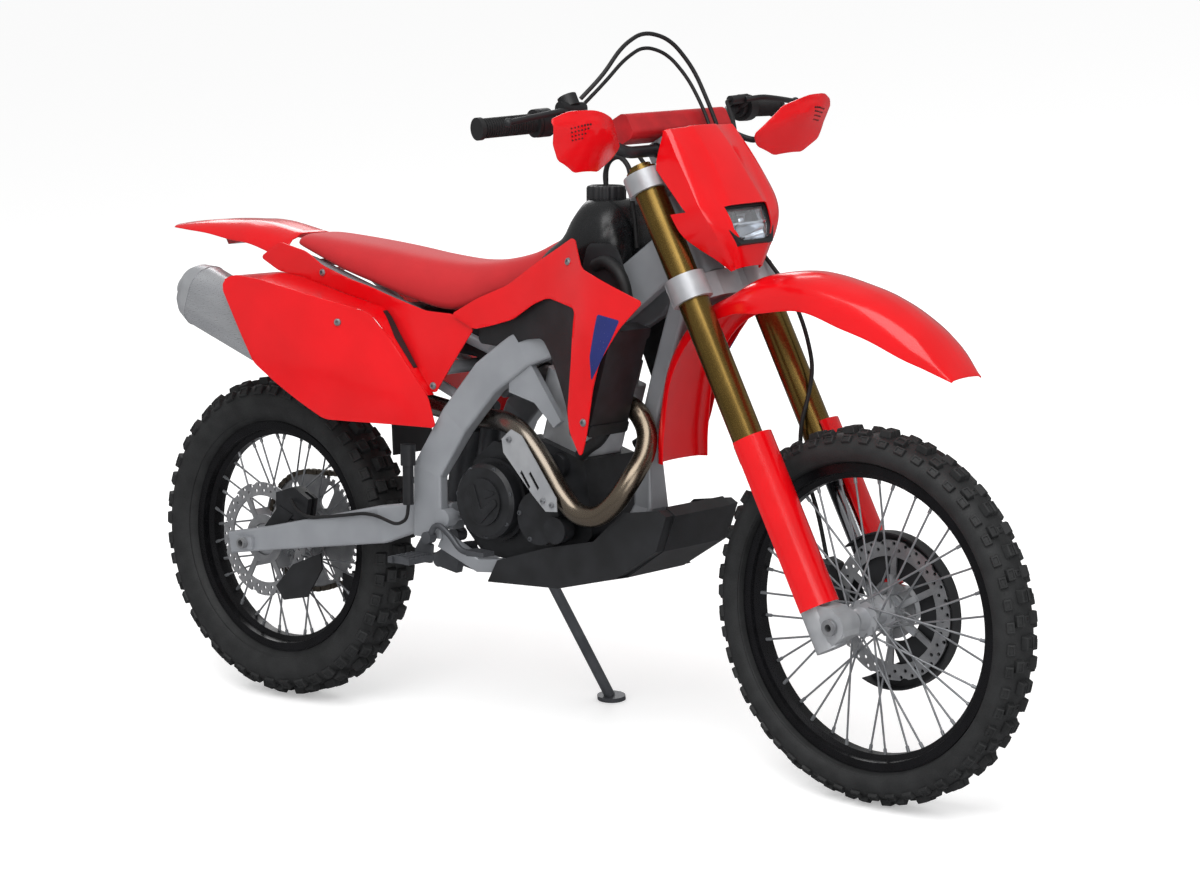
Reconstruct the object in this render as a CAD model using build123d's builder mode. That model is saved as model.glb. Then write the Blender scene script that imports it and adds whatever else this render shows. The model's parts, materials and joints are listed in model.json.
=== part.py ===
"""Enduro motorcycle leaning on its side stand.

The motorcycle is modelled upright: +X forward, +Y to the rider's left, +Z up, with the ground at Z = 0 and the
origin half way between the axles. The steered pieces are modelled in the fork's own frame, whose Z is the steering
axis, Y the rider's left and X forward, square to that axis. At the end every piece is turned with the steering,
leaned on to the side stand and shifted, so that the origin is on the ground under the middle of the motorcycle.
"""

import os
from math import atan2, cos, pi, radians, sin, tan

from build123d import *

# --- driving dimensions, mm and degrees ---------------------------------------------------------------------------
WHEELBASE = 1482.0
DRAWN_WHEELBASE = 1482.0
STRETCH_HALF = 300.0
RAKE = 27.4
FORK_OFFSET = 56.7
LEAN = 9.0
STEER_AT_REST = -3.9
STEER_LIMIT = 42.0
SKIN = 3.0
RUNNING_GAP = 0.3
SEAM = 0.4

FRONT_RIM_RADIUS = 281.0
FRONT_TYRE_HEIGHT = 66.0
FRONT_TYRE_RADIUS = FRONT_RIM_RADIUS + FRONT_TYRE_HEIGHT
FRONT_TYRE_WIDTH = 92.0
FRONT_RIM_WIDTH = 48.0
REAR_RIM_RADIUS = 243.0
REAR_TYRE_HEIGHT = 95.0
REAR_TYRE_RADIUS = REAR_RIM_RADIUS + REAR_TYRE_HEIGHT
REAR_TYRE_WIDTH = 120.0
REAR_RIM_WIDTH = 62.0
RIM_DEPTH = 28.0
SPOKES = 36
SPOKE_RADIUS = 2.0

AXLE_RADIUS = 11.0
AXLE_BORE_RADIUS = 7.0
FRONT_AXLE_HALF = 126.0
REAR_AXLE_HALF = 142.0
FRONT_DISC_RADIUS = 130.0
REAR_DISC_RADIUS = 120.0
DISC_THICKNESS = 4.0
FRONT_DISC_Y = 60.0
REAR_DISC_Y = -70.0

FORK_SPACING = 98.0
FORK_LEG_X = 22.0
FORK_TUBE_RADIUS = 29.0
FORK_SLIDER_RADIUS = 24.5
FORK_TUBE_BOTTOM = 345.0
FORK_TUBE_TOP = 912.0
TOP_CLAMP = (868.0, 905.0)
BOTTOM_CLAMP = (648.0, 696.0)
HEAD_TUBE_RADIUS = 31.0
STEM_RADIUS = 14.0

BAR_CENTRE_Z = 940.0
BAR_BEND = (14.0, -225.0, 1026.0)
BAR_RADIUS = 11.1
BAR_END = (-26.0, 415.0, 1039.0)
GRIP_LENGTH = 122.0
GRIP_RADIUS = 16.5

CHAIN_PITCH = 15.875
CHAIN_Y = 75.0
CHAIN_HALF_WIDTH = 9.0
CHAIN_HALF_HEIGHT = 7.5
REAR_TEETH = 50
FRONT_TEETH = 13
SPROCKET_THICKNESS = 6.0
COUNTERSHAFT = (-118.0, 452.0)
SWINGARM_PIVOT = (-190.0, 447.0)

STAND_PIVOT = (-150.0, 126.0, 332.0)
STAND_FOOT = (-62.0, 246.0)
STAND_STOWED = (-478.0, 160.0, 336.0)
STAND_TUBE_RADIUS = 11.0
STAND_BOSS_HALF = 11.0

# --- tyres: tips of the tread, as (distance from the mid plane, radius) ---------------------------------------------
FRONT_TREAD = [(0, 0), (13, -0.5), (17, -2), (33, -10), (FRONT_TYRE_WIDTH / 2, -27)]
REAR_TREAD = [(0, 0), (22, -1), (28, -3), (47, -14), (REAR_TYRE_WIDTH / 2, -37)]


def support(tread, radius):
    """Distance from the wheel's centre down to the ground when the wheel leans."""
    lean = radians(LEAN)
    return max((radius + drop) * cos(lean) + y * sin(lean) for y, drop in tread)


FRONT_AXLE_Z = support(FRONT_TREAD, FRONT_TYRE_RADIUS) / cos(radians(LEAN))
REAR_AXLE_Z = support(REAR_TREAD, REAR_TYRE_RADIUS) / cos(radians(LEAN))
FRONT_AXLE = (WHEELBASE / 2, 0.0, FRONT_AXLE_Z)
REAR_AXLE = (-WHEELBASE / 2, 0.0, REAR_AXLE_Z)

# --- frames of reference --------------------------------------------------------------------------------------------
ALONG = Vector(cos(radians(RAKE)), 0, sin(radians(RAKE)))
UP_FORK = Vector(-sin(radians(RAKE)), 0, cos(radians(RAKE)))
FORK = Plane(origin=Vector(*FRONT_AXLE) - ALONG * FORK_OFFSET, x_dir=ALONG, z_dir=UP_FORK)
SIDE = Plane.XZ
LEFT = Vector(0, 1, 0)


STAND_FOOT_Z = STAND_FOOT[1] * tan(radians(LEAN))
STAND_DOWN = Vector(STAND_FOOT[0], STAND_FOOT[1], STAND_FOOT_Z) - Vector(*STAND_PIVOT)
STAND_BACK = Vector(*STAND_STOWED) - Vector(*STAND_PIVOT)
STAND_AXIS = STAND_DOWN.cross(STAND_BACK).normalized()


def spread_x(x):
    """Where a station drawn for DRAWN_WHEELBASE goes when the wheelbase differs."""
    growth = (WHEELBASE - DRAWN_WHEELBASE) / 2
    return x + growth * max(-1, min(1, x / STRETCH_HALF))


def spread(shape):
    """Points with x first, alone or in lists, moved to where they go on this wheelbase."""
    if isinstance(shape, Vector):
        return Vector(spread_x(shape.X), shape.Y, shape.Z)
    if isinstance(shape[0], (int, float)):
        return (spread_x(shape[0]), *shape[1:])
    return [spread(item) if isinstance(item, (list, tuple, Vector)) else item for item in shape]


def leaned(point):
    """An upright point, once the motorcycle leans about the line of its tyres."""
    x, y, z = point
    lean = radians(LEAN)
    return Vector(x, y * cos(lean) + z * sin(lean), z * cos(lean) - y * sin(lean))


def steered(point):
    """A point of the fork's frame, as an upright point with the steering at rest."""
    x, y, z = point
    turn = radians(STEER_AT_REST)
    return FORK.from_local_coords(Vector(x * cos(turn) - y * sin(turn), x * sin(turn) + y * cos(turn), z))


def bar_end(side):
    """Where one end of the handlebar is, on the leaning motorcycle."""
    return leaned(tuple(steered((BAR_END[0], side * BAR_END[1], BAR_END[2]))))


MIDDLE = Vector(
    (FRONT_AXLE[0] + FRONT_TYRE_RADIUS + REAR_AXLE[0] - REAR_TYRE_RADIUS) / 2,
    (bar_end(1).Y + bar_end(-1).Y) / 2,
    0,
)


def parked(piece, on_fork=False):
    """Take an upright piece to its place on the leaning motorcycle."""
    if on_fork:
        piece = FORK.location * (Rotation(0, 0, STEER_AT_REST) * piece)
    return Pos(-MIDDLE.X, -MIDDLE.Y, 0) * (Rotation(-LEAN, 0, 0) * piece)


# --- ways of making shapes --------------------------------------------------------------------------------------------
def facing(centre, y):
    """A plane across the motorcycle, facing right, centred on an (x, z) point."""
    return Plane(origin=(centre[0], y, centre[1]), x_dir=(1, 0, 0), z_dir=(0, -1, 0))


def filled(plane, points):
    """A closed outline on a plane."""
    with BuildSketch(plane) as profile:
        with BuildLine():
            Polyline(*points, close=True)
        make_face()
    return profile.sketch


def slab(outline, y_low, y_high, mode=Mode.ADD):
    """Extrude a side view, given as (x, z) points, from one distance left of the mid plane to another."""
    extrude(filled(SIDE.offset(-y_high), outline), amount=y_high - y_low, mode=mode)


def disc(centre, radius, y_low, y_high, mode=Mode.ADD):
    """A cylinder across the motorcycle, centred on an (x, z) point."""
    with BuildSketch(SIDE.offset(-y_high)) as profile:
        with Locations(centre):
            Circle(radius)
    extrude(profile.sketch, amount=y_high - y_low, mode=mode)


def rods(ends, radius, length=None, mode=Mode.ADD):
    """Straight round bars, each from a start towards an end."""
    bars = []
    for start, end in ends:
        start, end = Vector(*start), Vector(*end)
        with BuildSketch(Plane(origin=start, z_dir=end - start)) as profile:
            Circle(radius)
        bars.append(extrude(profile.sketch, amount=length or (end - start).length, mode=Mode.PRIVATE))
    add(bars, mode=mode)


def rod(start, end, radius, mode=Mode.ADD):
    """A straight round bar between two points."""
    rods([(start, end)], radius, mode=mode)


def corner_radii(points, share=0.45):
    """The largest arc that each corner of a route allows."""
    points = [Vector(*p) for p in points]
    radii = []
    for before, here, after in zip(points, points[1:], points[2:]):
        turn = radians((here - before).get_angle(after - here))
        radii.append(share * min((here - before).length, (after - here).length) / tan(turn / 2))
    return radii


def pipe(points, radius, bore=0.0, bends=None):
    """A round tube along straight runs joined by tangent arcs."""
    with BuildLine() as route:
        FilletPolyline(*points, radius=bends or corner_radii(points))
    line = route.line
    with BuildSketch(Plane(origin=line @ 0, z_dir=line % 0)) as profile:
        Circle(radius)
        if bore:
            Circle(bore, mode=Mode.SUBTRACT)
    sweep(profile.sketch, path=line)


def bent_tube(points, radius):
    """A tube of straight runs with mitred corners."""
    for start, end in zip(points, points[1:]):
        rod(start, end, radius)
    for point in points[1:-1]:
        with Locations(point):
            Sphere(radius)


def beam(stations, corner=0.2):
    """A box section that changes size along its way: each station is (point, width across, height)."""
    points = [Vector(*point) for point, _, _ in stations]
    sections = []
    for index, (point, (_, width, height)) in enumerate(zip(points, stations)):
        before = (point - points[index - 1]).normalized() if index else None
        after = (points[index + 1] - point).normalized() if index + 1 < len(points) else None
        heading = (before or after) + (after or before)
        with BuildSketch(Plane(origin=point, x_dir=LEFT, z_dir=heading)) as section:
            RectangleRounded(width, height, corner * min(width, height))
        sections.append(section.sketch)
    loft(sections, ruled=True)


def arched(stations, thickness=SKIN):
    """A thin arched shell: each station is (x, z) of the crown, (x, z) of the edges and the half width."""
    sections = []
    for crown, edge, half in stations:
        rise = Vector(crown[0] - edge[0], 0, crown[1] - edge[1])
        height = rise.length
        plane = Plane(origin=(edge[0], 0, edge[1]), x_dir=LEFT, z_dir=LEFT.cross(rise))
        outer = [(-half, 0), (-0.72 * half, 0.72 * height), (0, height), (0.72 * half, 0.72 * height), (half, 0)]
        inner = [(half - thickness, 0), (0.72 * half - thickness, 0.72 * height - thickness),
                 (0, height - thickness), (thickness - 0.72 * half, 0.72 * height - thickness),
                 (thickness - half, 0)]
        sections.append(filled(plane, [*outer, *inner]))
    loft(sections, ruled=True)


def panel(outline, plan, thickness=SKIN):
    """A side panel: its side view, cut from a wall that follows the plan view's (x, y) points."""
    low = min(z for _, z in outline) - 1
    high = max(z for _, z in outline) + 1
    wall = [*plan, *[(x, y + thickness) for x, y in reversed(plan)]]
    extrude(filled(Plane.XY.offset(low), wall), amount=high - low)
    side_reach = max(abs(y) for _, y in plan) + 2 * thickness
    slab(outline, -side_reach, 0, mode=Mode.INTERSECT)


def both_sides():
    """Repeat what has been made on the other side."""
    mirror(about=Plane.XZ)


# --- wheels ---------------------------------------------------------------------------------------------------------------
FRONT_HUB = (FORK_OFFSET, 0.0, 0.0)
BEAD_SEAT = 12.0
GAP_SHARE = 0.34


def turned(section, hub):
    """Turn a section, given as (y, radius) points, about a wheel's axle."""
    revolve(filled(Plane(origin=hub, x_dir=LEFT, z_dir=(1, 0, 0)), section), axis=Axis(hub, (0, 1, 0)))


def mirrored(half_section):
    """A section's other half: points for negative y, then those given."""
    return [(-y, r) for y, r in reversed(half_section)] + list(half_section)


def tip(tread, radius, y):
    """Radius of the tread's tips at this distance from the mid plane."""
    for (y_in, drop_in), (y_out, drop_out) in zip(tread, tread[1:]):
        if y <= y_out:
            return radius + drop_in + (drop_out - drop_in) * (y - y_in) / (y_out - y_in)
    return radius + tread[-1][1]


def tyre(tread, radius, rim_radius, rim_width, hub, centre_band, depth):
    """A hollow tyre with a centre band and two shoulder bands of tread, out to their tips."""
    shoulder, _ = tread[-1]
    bead = rim_radius - BEAD_SEAT
    bead_y = rim_width / 2 - 4 - SEAM
    side = (radius + rim_radius) / 2
    low, high = centre_band
    outer = [(low, tip(tread, radius, low)), (low, tip(tread, radius, low) - depth),
             (high, tip(tread, radius, high) - depth), (high, tip(tread, radius, high))]
    outer += [(y, radius + drop) for y, drop in tread if y > high]
    outer += [(shoulder - 3, side + 4), (shoulder - 8, side - 14), (bead_y, rim_radius + 3), (bead_y, bead + SEAM)]
    inner = [(bead_y - 9, bead + SEAM), (bead_y - 9, rim_radius + 6), (shoulder - 12, side),
             (shoulder - 22, radius - 2 * depth)]
    turned([*[(-y, r) for y, r in reversed(outer)], *outer, *inner, *[(-y, r) for y, r in reversed(inner)]], hub)


def tread_gaps(tread, radius, y_low, y_high, depth, count, phase, hub):
    """Cut the gaps between the blocks of one band of tread."""
    floor = [(y_high, tip(tread, radius, abs(y_high)) - depth), (y_low, tip(tread, radius, abs(y_low)) - depth)]
    above = [(y_low, radius + depth), (y_high, radius + depth)]
    plane = Plane(origin=hub, x_dir=LEFT, z_dir=(1, 0, 0))
    ring = revolve(filled(plane, [*above, *floor]), axis=Axis(hub, (0, 1, 0)), mode=Mode.PRIVATE)
    with BuildSketch(facing((hub[0], hub[2]), y_high)) as slots:
        with PolarLocations(radius - depth, count, start_angle=phase):
            Rectangle(5 * depth, GAP_SHARE * 2 * pi * radius / count)
    walls = extrude(slots.sketch, amount=y_high - y_low, mode=Mode.PRIVATE)
    add(ring & walls, mode=Mode.SUBTRACT)


def knobbly(tread, radius, rim_radius, rim_width, hub, centre_band, depth, count):
    """A tyre with its blocks."""
    low, high = centre_band
    edge = tread[-1][0] + 4
    tyre(tread, radius, rim_radius, rim_width, hub, centre_band, depth)
    half_step = 180 / count
    for y_low, y_high, phase in ((-low, low, 0), (high, edge, half_step), (-edge, -high, half_step)):
        tread_gaps(tread, radius, y_low, y_high, depth, count, phase, hub)


def rim(radius, width, hub):
    """A drop-centre rim."""
    half = width / 2
    seat = radius - BEAD_SEAT
    well = radius - RIM_DEPTH + 8
    half_section = [
        (9, well), (13, seat), (half - 4, seat), (half - 4, radius), (half, radius), (half, seat - 4),
        (16, seat - 6), (10, radius - RIM_DEPTH),
    ]
    outer = half_section[:6]
    under = half_section[6:]
    turned([*[(-y, r) for y, r in reversed(outer)], *outer, *under, *[(-y, r) for y, r in reversed(under)]], hub)


def spokes(rim_radius, flange_radius, flange_y, hub):
    """Crossed wire spokes, each from a hub flange into its nipple in the rim."""
    seat = rim_radius - RIM_DEPTH + 3
    ends = []
    for index in range(SPOKES):
        side = 1 if index % 2 == 0 else -1
        lead = 1 if index // 2 % 2 == 0 else -1
        at_rim = 2 * pi * index / SPOKES
        at_hub = at_rim + lead * radians(58)
        y_hub = side * (flange_y + 4 * lead)
        start = Vector(flange_radius * cos(at_hub), y_hub, flange_radius * sin(at_hub)) + Vector(*hub)
        end = Vector(seat * cos(at_rim), side * 6, seat * sin(at_rim)) + Vector(*hub)
        ends.append((start, end))
    rods(ends, SPOKE_RADIUS)
    rods([(end, start) for start, end in ends], SPOKE_RADIUS + 1.3, length=14)


def brake_disc(radius, inner, y, hub):
    """A wave disc with cooling holes and arms to its carrier."""
    x, _, z = hub
    disc((x, z), radius, y - DISC_THICKNESS / 2, y + DISC_THICKNESS / 2)
    disc((x, z), inner, y - DISC_THICKNESS, y + DISC_THICKNESS, mode=Mode.SUBTRACT)
    ring = facing((x, z), y + DISC_THICKNESS)
    with BuildSketch(ring) as holes:
        with PolarLocations(radius - 6, 30):
            Circle(3.5)
        with PolarLocations(radius - 17, 30, start_angle=6):
            Circle(3.5)
        with PolarLocations(radius + 9, 12, start_angle=15):
            Circle(13)
    extrude(holes.sketch, amount=2 * DISC_THICKNESS, mode=Mode.SUBTRACT)


def hub_body(flange_radius, flange_y, half_width, hub, disc_y, carrier_radius):
    """A waisted hub with spoke flanges and a disc carrier, bored for its axle."""
    side = 1 if disc_y > 0 else -1
    bore = AXLE_RADIUS + RUNNING_GAP
    waist = flange_radius - 8
    face = disc_y - side * DISC_THICKNESS / 2 - side * 0.2
    low, high = sorted((side * (flange_y - 5), face))
    x, _, z = hub
    half_section = [(flange_y - 8, waist), (flange_y - 3.5, flange_radius + 6), (flange_y + 3.5, flange_radius + 6),
                    (flange_y + 6, waist + 2), (half_width, waist - 3), (half_width, bore)]
    turned(mirrored(half_section), hub)
    disc((x, z), waist, low, high)
    with BuildSketch(facing((x, z), high)) as carrier:
        Circle(carrier_radius / 2)
        with PolarLocations(carrier_radius / 2 + 8, 6):
            Rectangle(carrier_radius - 6, 11)
    extrude(carrier.sketch, amount=7 if side > 0 else high - low)
    disc((x, z), bore, -half_width - 40, half_width + 40, mode=Mode.SUBTRACT)


with BuildPart() as front_tyre:
    knobbly(FRONT_TREAD, FRONT_TYRE_RADIUS, FRONT_RIM_RADIUS, FRONT_RIM_WIDTH, FRONT_HUB, (13, 20), 11, 44)

with BuildPart() as rear_tyre:
    knobbly(REAR_TREAD, REAR_TYRE_RADIUS, REAR_RIM_RADIUS, REAR_RIM_WIDTH, REAR_AXLE, (22, 30), 14, 38)

with BuildPart() as front_rim:
    rim(FRONT_RIM_RADIUS, FRONT_RIM_WIDTH, FRONT_HUB)

with BuildPart() as rear_rim:
    rim(REAR_RIM_RADIUS, REAR_RIM_WIDTH, REAR_AXLE)

FRONT_FLANGE = (28.0, 27.0)
REAR_FLANGE = (40.0, 34.0)
FRONT_HUB_HALF = 54.0
REAR_HUB_HALF = 60.0

with BuildPart() as front_spokes:
    spokes(FRONT_RIM_RADIUS, *FRONT_FLANGE, FRONT_HUB)

with BuildPart() as rear_spokes:
    spokes(REAR_RIM_RADIUS, *REAR_FLANGE, REAR_AXLE)

with BuildPart() as front_hub:
    hub_body(*FRONT_FLANGE, FRONT_HUB_HALF, FRONT_HUB, FRONT_DISC_Y, 62)

with BuildPart() as rear_hub:
    hub_body(*REAR_FLANGE, REAR_HUB_HALF, REAR_AXLE, REAR_DISC_Y, 62)

with BuildPart() as front_disc:
    brake_disc(FRONT_DISC_RADIUS, 100, FRONT_DISC_Y, FRONT_HUB)
    arm_ring = facing(FRONT_HUB[::2], FRONT_DISC_Y + DISC_THICKNESS / 2)
    with BuildSketch(arm_ring):
        with PolarLocations(76, 6):
            Rectangle(56, 12)
        Circle(52)
        Circle(34, mode=Mode.SUBTRACT)
    extrude(amount=DISC_THICKNESS)

with BuildPart() as rear_disc:
    brake_disc(REAR_DISC_RADIUS, 92, REAR_DISC_Y, REAR_AXLE)
    arm_ring = facing(REAR_AXLE[::2], REAR_DISC_Y + DISC_THICKNESS / 2)
    with BuildSketch(arm_ring):
        with PolarLocations(72, 6):
            Rectangle(50, 12)
        Circle(52)
        Circle(34, mode=Mode.SUBTRACT)
    extrude(amount=DISC_THICKNESS)


def pitch_radius(teeth):
    """Radius of a sprocket's pitch circle."""
    return CHAIN_PITCH / (2 * sin(pi / teeth))


with BuildPart() as rear_sprocket:
    sprocket_plane = facing(REAR_AXLE[::2], CHAIN_Y + SPROCKET_THICKNESS / 2)
    with BuildSketch(sprocket_plane):
        Circle(pitch_radius(REAR_TEETH) + 3)
        with PolarLocations(pitch_radius(REAR_TEETH), REAR_TEETH):
            Circle(CHAIN_PITCH / 2 - 2.6, mode=Mode.SUBTRACT)
        with PolarLocations(88, 6):
            SlotCenterToCenter(30, 26, mode=Mode.SUBTRACT)
        Circle(34, mode=Mode.SUBTRACT)
    extrude(amount=SPROCKET_THICKNESS)
    with BuildSketch(facing(REAR_AXLE[::2], CHAIN_Y - SPROCKET_THICKNESS / 2)):
        Circle(52)
        Circle(AXLE_RADIUS + RUNNING_GAP, mode=Mode.SUBTRACT)
    extrude(amount=CHAIN_Y - SPROCKET_THICKNESS / 2 - REAR_HUB_HALF - 0.2)

with BuildPart() as front_axle:
    x, _, z = FRONT_HUB
    disc((x, z), AXLE_RADIUS, -FRONT_AXLE_HALF, FRONT_AXLE_HALF)
    disc((x, z), AXLE_RADIUS + 4, -FRONT_AXLE_HALF - 4, -FRONT_AXLE_HALF + 2)
    disc((x, z), AXLE_BORE_RADIUS, -FRONT_AXLE_HALF - 10, FRONT_AXLE_HALF + 10, mode=Mode.SUBTRACT)

with BuildPart() as rear_axle:
    x, _, z = REAR_AXLE
    disc((x, z), AXLE_RADIUS, -REAR_AXLE_HALF, REAR_AXLE_HALF)
    disc((x, z), AXLE_RADIUS + 6, REAR_AXLE_HALF - 12, REAR_AXLE_HALF - 2)
    disc((x, z), AXLE_BORE_RADIUS, -REAR_AXLE_HALF - 10, REAR_AXLE_HALF + 10, mode=Mode.SUBTRACT)


# --- frame and running gear -------------------------------------------------------------------------------------------
SPAR_Y = 96.0
SPAR_THICKNESS = 34.0
SPAR_HEIGHT = 74.0
PIVOT_Y = 112.0
PIVOT_RADIUS = 10.0
ARM_Y = 108.0
ARM_THICKNESS = 32.0

with BuildPart() as frame:
    pivot_x, pivot_z = SWINGARM_PIVOT
    head_foot = FORK.from_local_coords(Vector(0, 0, BOTTOM_CLAMP[1] + 6))
    head_top = FORK.from_local_coords(Vector(0, 0, TOP_CLAMP[0] - 6))
    beam(spread([
        ((pivot_x - 42, -PIVOT_Y, pivot_z - 42), 26, SPAR_HEIGHT),
        ((pivot_x - 42, -PIVOT_Y, pivot_z + 90), 26, SPAR_HEIGHT),
        ((-172, -SPAR_Y, 640), SPAR_THICKNESS, SPAR_HEIGHT - 2),
        ((-90, -SPAR_Y, 730), SPAR_THICKNESS, SPAR_HEIGHT),
        ((0, -SPAR_Y, 792), SPAR_THICKNESS, SPAR_HEIGHT),
        ((60, -SPAR_Y + 4, 815), SPAR_THICKNESS - 4, SPAR_HEIGHT),
        ((200, -58, 895), SPAR_THICKNESS - 6, SPAR_HEIGHT + 14),
        ((322, -14, 1006), SPAR_THICKNESS - 6, SPAR_HEIGHT + 10),
    ]))
    slab(spread([(-30, 790), (20, 765), (96, 660), (78, 646), (30, 690), (-34, 706)]), -SPAR_Y - 9, -SPAR_Y + 5)
    both_sides()
    rod(head_foot, head_top, HEAD_TUBE_RADIUS)
    beam(spread([
        ((336, 0, 970), 46, 44),
        ((262, 0, 740), 44, 40),
        ((224, 0, 600), 46, 40),
        ((232, 0, 500), 60, 44),
        ((205, 0, 428), 120, 36),
    ]))
    for side in (-1, 1):
        beam(spread([
            ((212, side * 34, 436), 26, 30),
            ((130, side * 92, 380), 22, 28),
            ((-120, side * 93, 358), 22, 28),
            ((-204, side * 108, 402), 20, 34),
        ]))
    disc(spread((-205, 740)), 13, -SPAR_Y, SPAR_Y)
    disc(spread((-146, 368)), 10, -92, 92)
    disc(spread((-40, 352)), 10, -92, 92)
    slab(spread([(-180, 374), (-122, 364), (-128, 322), (-150, 314), (-172, 322)]), 92, STAND_PIVOT[1])
    up_tube = (head_top - head_foot).normalized()
    rod(head_foot, head_top, STEM_RADIUS + RUNNING_GAP, mode=Mode.SUBTRACT)
    rod(head_foot - up_tube * 60, head_foot, 76, mode=Mode.SUBTRACT)
    rod(head_top, head_top + up_tube * 60, 76, mode=Mode.SUBTRACT)
    disc(spread(SWINGARM_PIVOT), PIVOT_RADIUS + 8, -PIVOT_Y - 15, -PIVOT_Y + 13)
    disc(spread(SWINGARM_PIVOT), PIVOT_RADIUS + 8, PIVOT_Y - 13, PIVOT_Y + 15)
    stand_face = spread(Vector(*STAND_PIVOT)) - STAND_AXIS * (STAND_BOSS_HALF + SEAM)
    rod(stand_face, stand_face + STAND_AXIS * 60, 36, mode=Mode.SUBTRACT)

with BuildPart() as swingarm:
    axle_x, axle_z = -DRAWN_WHEELBASE / 2, REAR_AXLE_Z
    for side, front_height in ((-1, 76), (1, 56)):
        beam(spread([
            ((pivot_x, side * 80, pivot_z), 34, 52),
            ((pivot_x - 86, side * 80, pivot_z - 8), 34, 54),
            ((pivot_x - 172, side * ARM_Y, pivot_z - 31), ARM_THICKNESS, front_height),
            ((axle_x + 60, side * ARM_Y, axle_z + 14), ARM_THICKNESS - 4, 50),
            ((axle_x - 52, side * ARM_Y, axle_z - 6), ARM_THICKNESS - 6, 46),
        ]))
    slab(spread([(-376, 390), (-326, 394), (-322, 438), (-372, 440)]), -ARM_Y, ARM_Y)
    for side in (-1, 1):
        slab(spread([(axle_x - 22, axle_z - 13), (axle_x + 22, axle_z - 13), (axle_x + 22, axle_z + 13), (axle_x - 22, axle_z + 13)]),
             min(side * 90, side * 130), max(side * 90, side * 130), mode=Mode.ADD)
    disc(spread(SWINGARM_PIVOT), PIVOT_RADIUS, -PIVOT_Y + 13.2, PIVOT_Y - 13.2)
    disc(spread((axle_x, axle_z)), AXLE_RADIUS + 0.1, -200, 200, mode=Mode.SUBTRACT)

with BuildPart() as subframe:
    for side in (-1, 1):
        bent_tube(spread([(-96, side * 66, 776), (-330, side * 74, 852), (-590, side * 64, 928), (-690, side * 60, 950)]), 11)
        bent_tube(spread([(-190, side * 70, 682), (-400, side * 92, 776), (-590, side * 64, 920)]), 10)
        for x, z in ((-96, 776), (-190, 682)):
            disc(spread((x, z)), 14, *sorted((side * 62, side * (SPAR_Y - SPAR_THICKNESS / 2 - SEAM))))
    for x, z in ((-330, 852), (-590, 926)):
        disc(spread((x, z)), 8, -70, 70)

with BuildPart() as rear_suspension:
    top, foot = spread([Vector(-205, 0, 706), Vector(-262, 0, 392)])
    axis = (foot - top).normalized()
    rod(top + axis * 20, spread(foot), 11)
    rod(top + axis * 8, top + axis * 95, 24)
    rod(top + axis * 95, top + axis * 110, 36)
    rod(top + axis * 110, top + axis * 268, 33)
    rod(top + axis * 268, top + axis * 282, 36)
    disc((top.X, top.Z), 15, -20, 20)
    disc((foot.X, foot.Z), 14, -14, 14)
    with BuildSketch(Plane(origin=top + axis * 70 + Vector(52, 0, 10), z_dir=axis)) as reservoir:
        Circle(22)
    extrude(reservoir.sketch, amount=105)
    rod(top + axis * 55, top + axis * 55 + Vector(60, 0, 8), 10)
    slab(spread([(-292, 330), (-236, 320), (-228, 350), (-246, 376), (-262, 374), (-300, 350)]), -34, -16)
    slab(spread([(-292, 330), (-236, 320), (-228, 350), (-246, 376), (-262, 374), (-300, 350)]), 16, 34)
    disc(spread((-285, 340)), 13, -34, 34)
    beam(spread([((-285, 0, 338), 30, 24), ((-200, 0, 350), 26, 22), ((-167, 0, 356), 24, 20)]))

PORT_FACE = spread(Vector(194, -36, 697))
BARREL_TILT = 16.0
BARREL_FOOT = spread(Vector(62, 0, 604))
BARREL_UP = Vector(sin(radians(BARREL_TILT)), 0, cos(radians(BARREL_TILT)))


def barrel_plane(height):
    """A plane across the cylinder, this far up from the crankcase."""
    return Plane(origin=BARREL_FOOT + BARREL_UP * height, x_dir=LEFT.cross(BARREL_UP), z_dir=BARREL_UP)


# --- engine -------------------------------------------------------------------------------------------------------------
with BuildPart() as engine_cases:
    slab(spread([
        (-178, 470), (-150, 560), (-96, 604), (-20, 590), (20, 618), (128, 590), (142, 520), (150, 440),
        (96, 388), (-40, 368), (-130, 384), (-170, 424),
    ]), -78, 78)
    fillet(engine_cases.edges().filter_by(Axis.Y), 12)
    with BuildSketch(barrel_plane(0)) as above:
        Rectangle(150, 170)
    extrude(above.sketch, amount=90, mode=Mode.SUBTRACT)
    slab(spread([(-200, 360), (-62, 360), (-62, 620), (-200, 620)]), 60, 90, mode=Mode.SUBTRACT)
    disc(spread((-85, 490)), 82, -92, -78)
    disc(spread((48, 470)), 57, -96, -78)
    disc(spread((48, 470)), 66, 78, 92)
    disc(spread((72, 570)), 24, -94, -78)
    with Locations(spread((58, 0, 390))):
        Cylinder(14, 60, rotation=(90, 0, 0))

with BuildPart() as cylinder:
    for start, end, width, depth in ((SEAM, 80, 118, 120), (80, 140, 148, 144), (140, 184, 132, 116)):
        with BuildSketch(barrel_plane(start)) as section:
            RectangleRounded(depth, width, 16)
        extrude(section.sketch, amount=end - start)
    port = BARREL_FOOT + BARREL_UP * 106
    rod(port, PORT_FACE, 27)

with BuildPart() as engine_covers:
    disc(spread((-85, 490)), 74, -124, -92.2)
    chamfer(engine_covers.faces().sort_by(Axis.Y)[0].edges(), 7)
    disc(spread((-85, 490)), 46, -128, -124)
    disc(spread((48, 470)), 52, -116, -96.2)
    disc(spread((96, 452)), 26, -126, -96.2)
    disc(spread((48, 470)), 58, 92.2, 122)
    chamfer(engine_covers.faces().sort_by(Axis.Y)[-1].edges(), 8)

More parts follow.
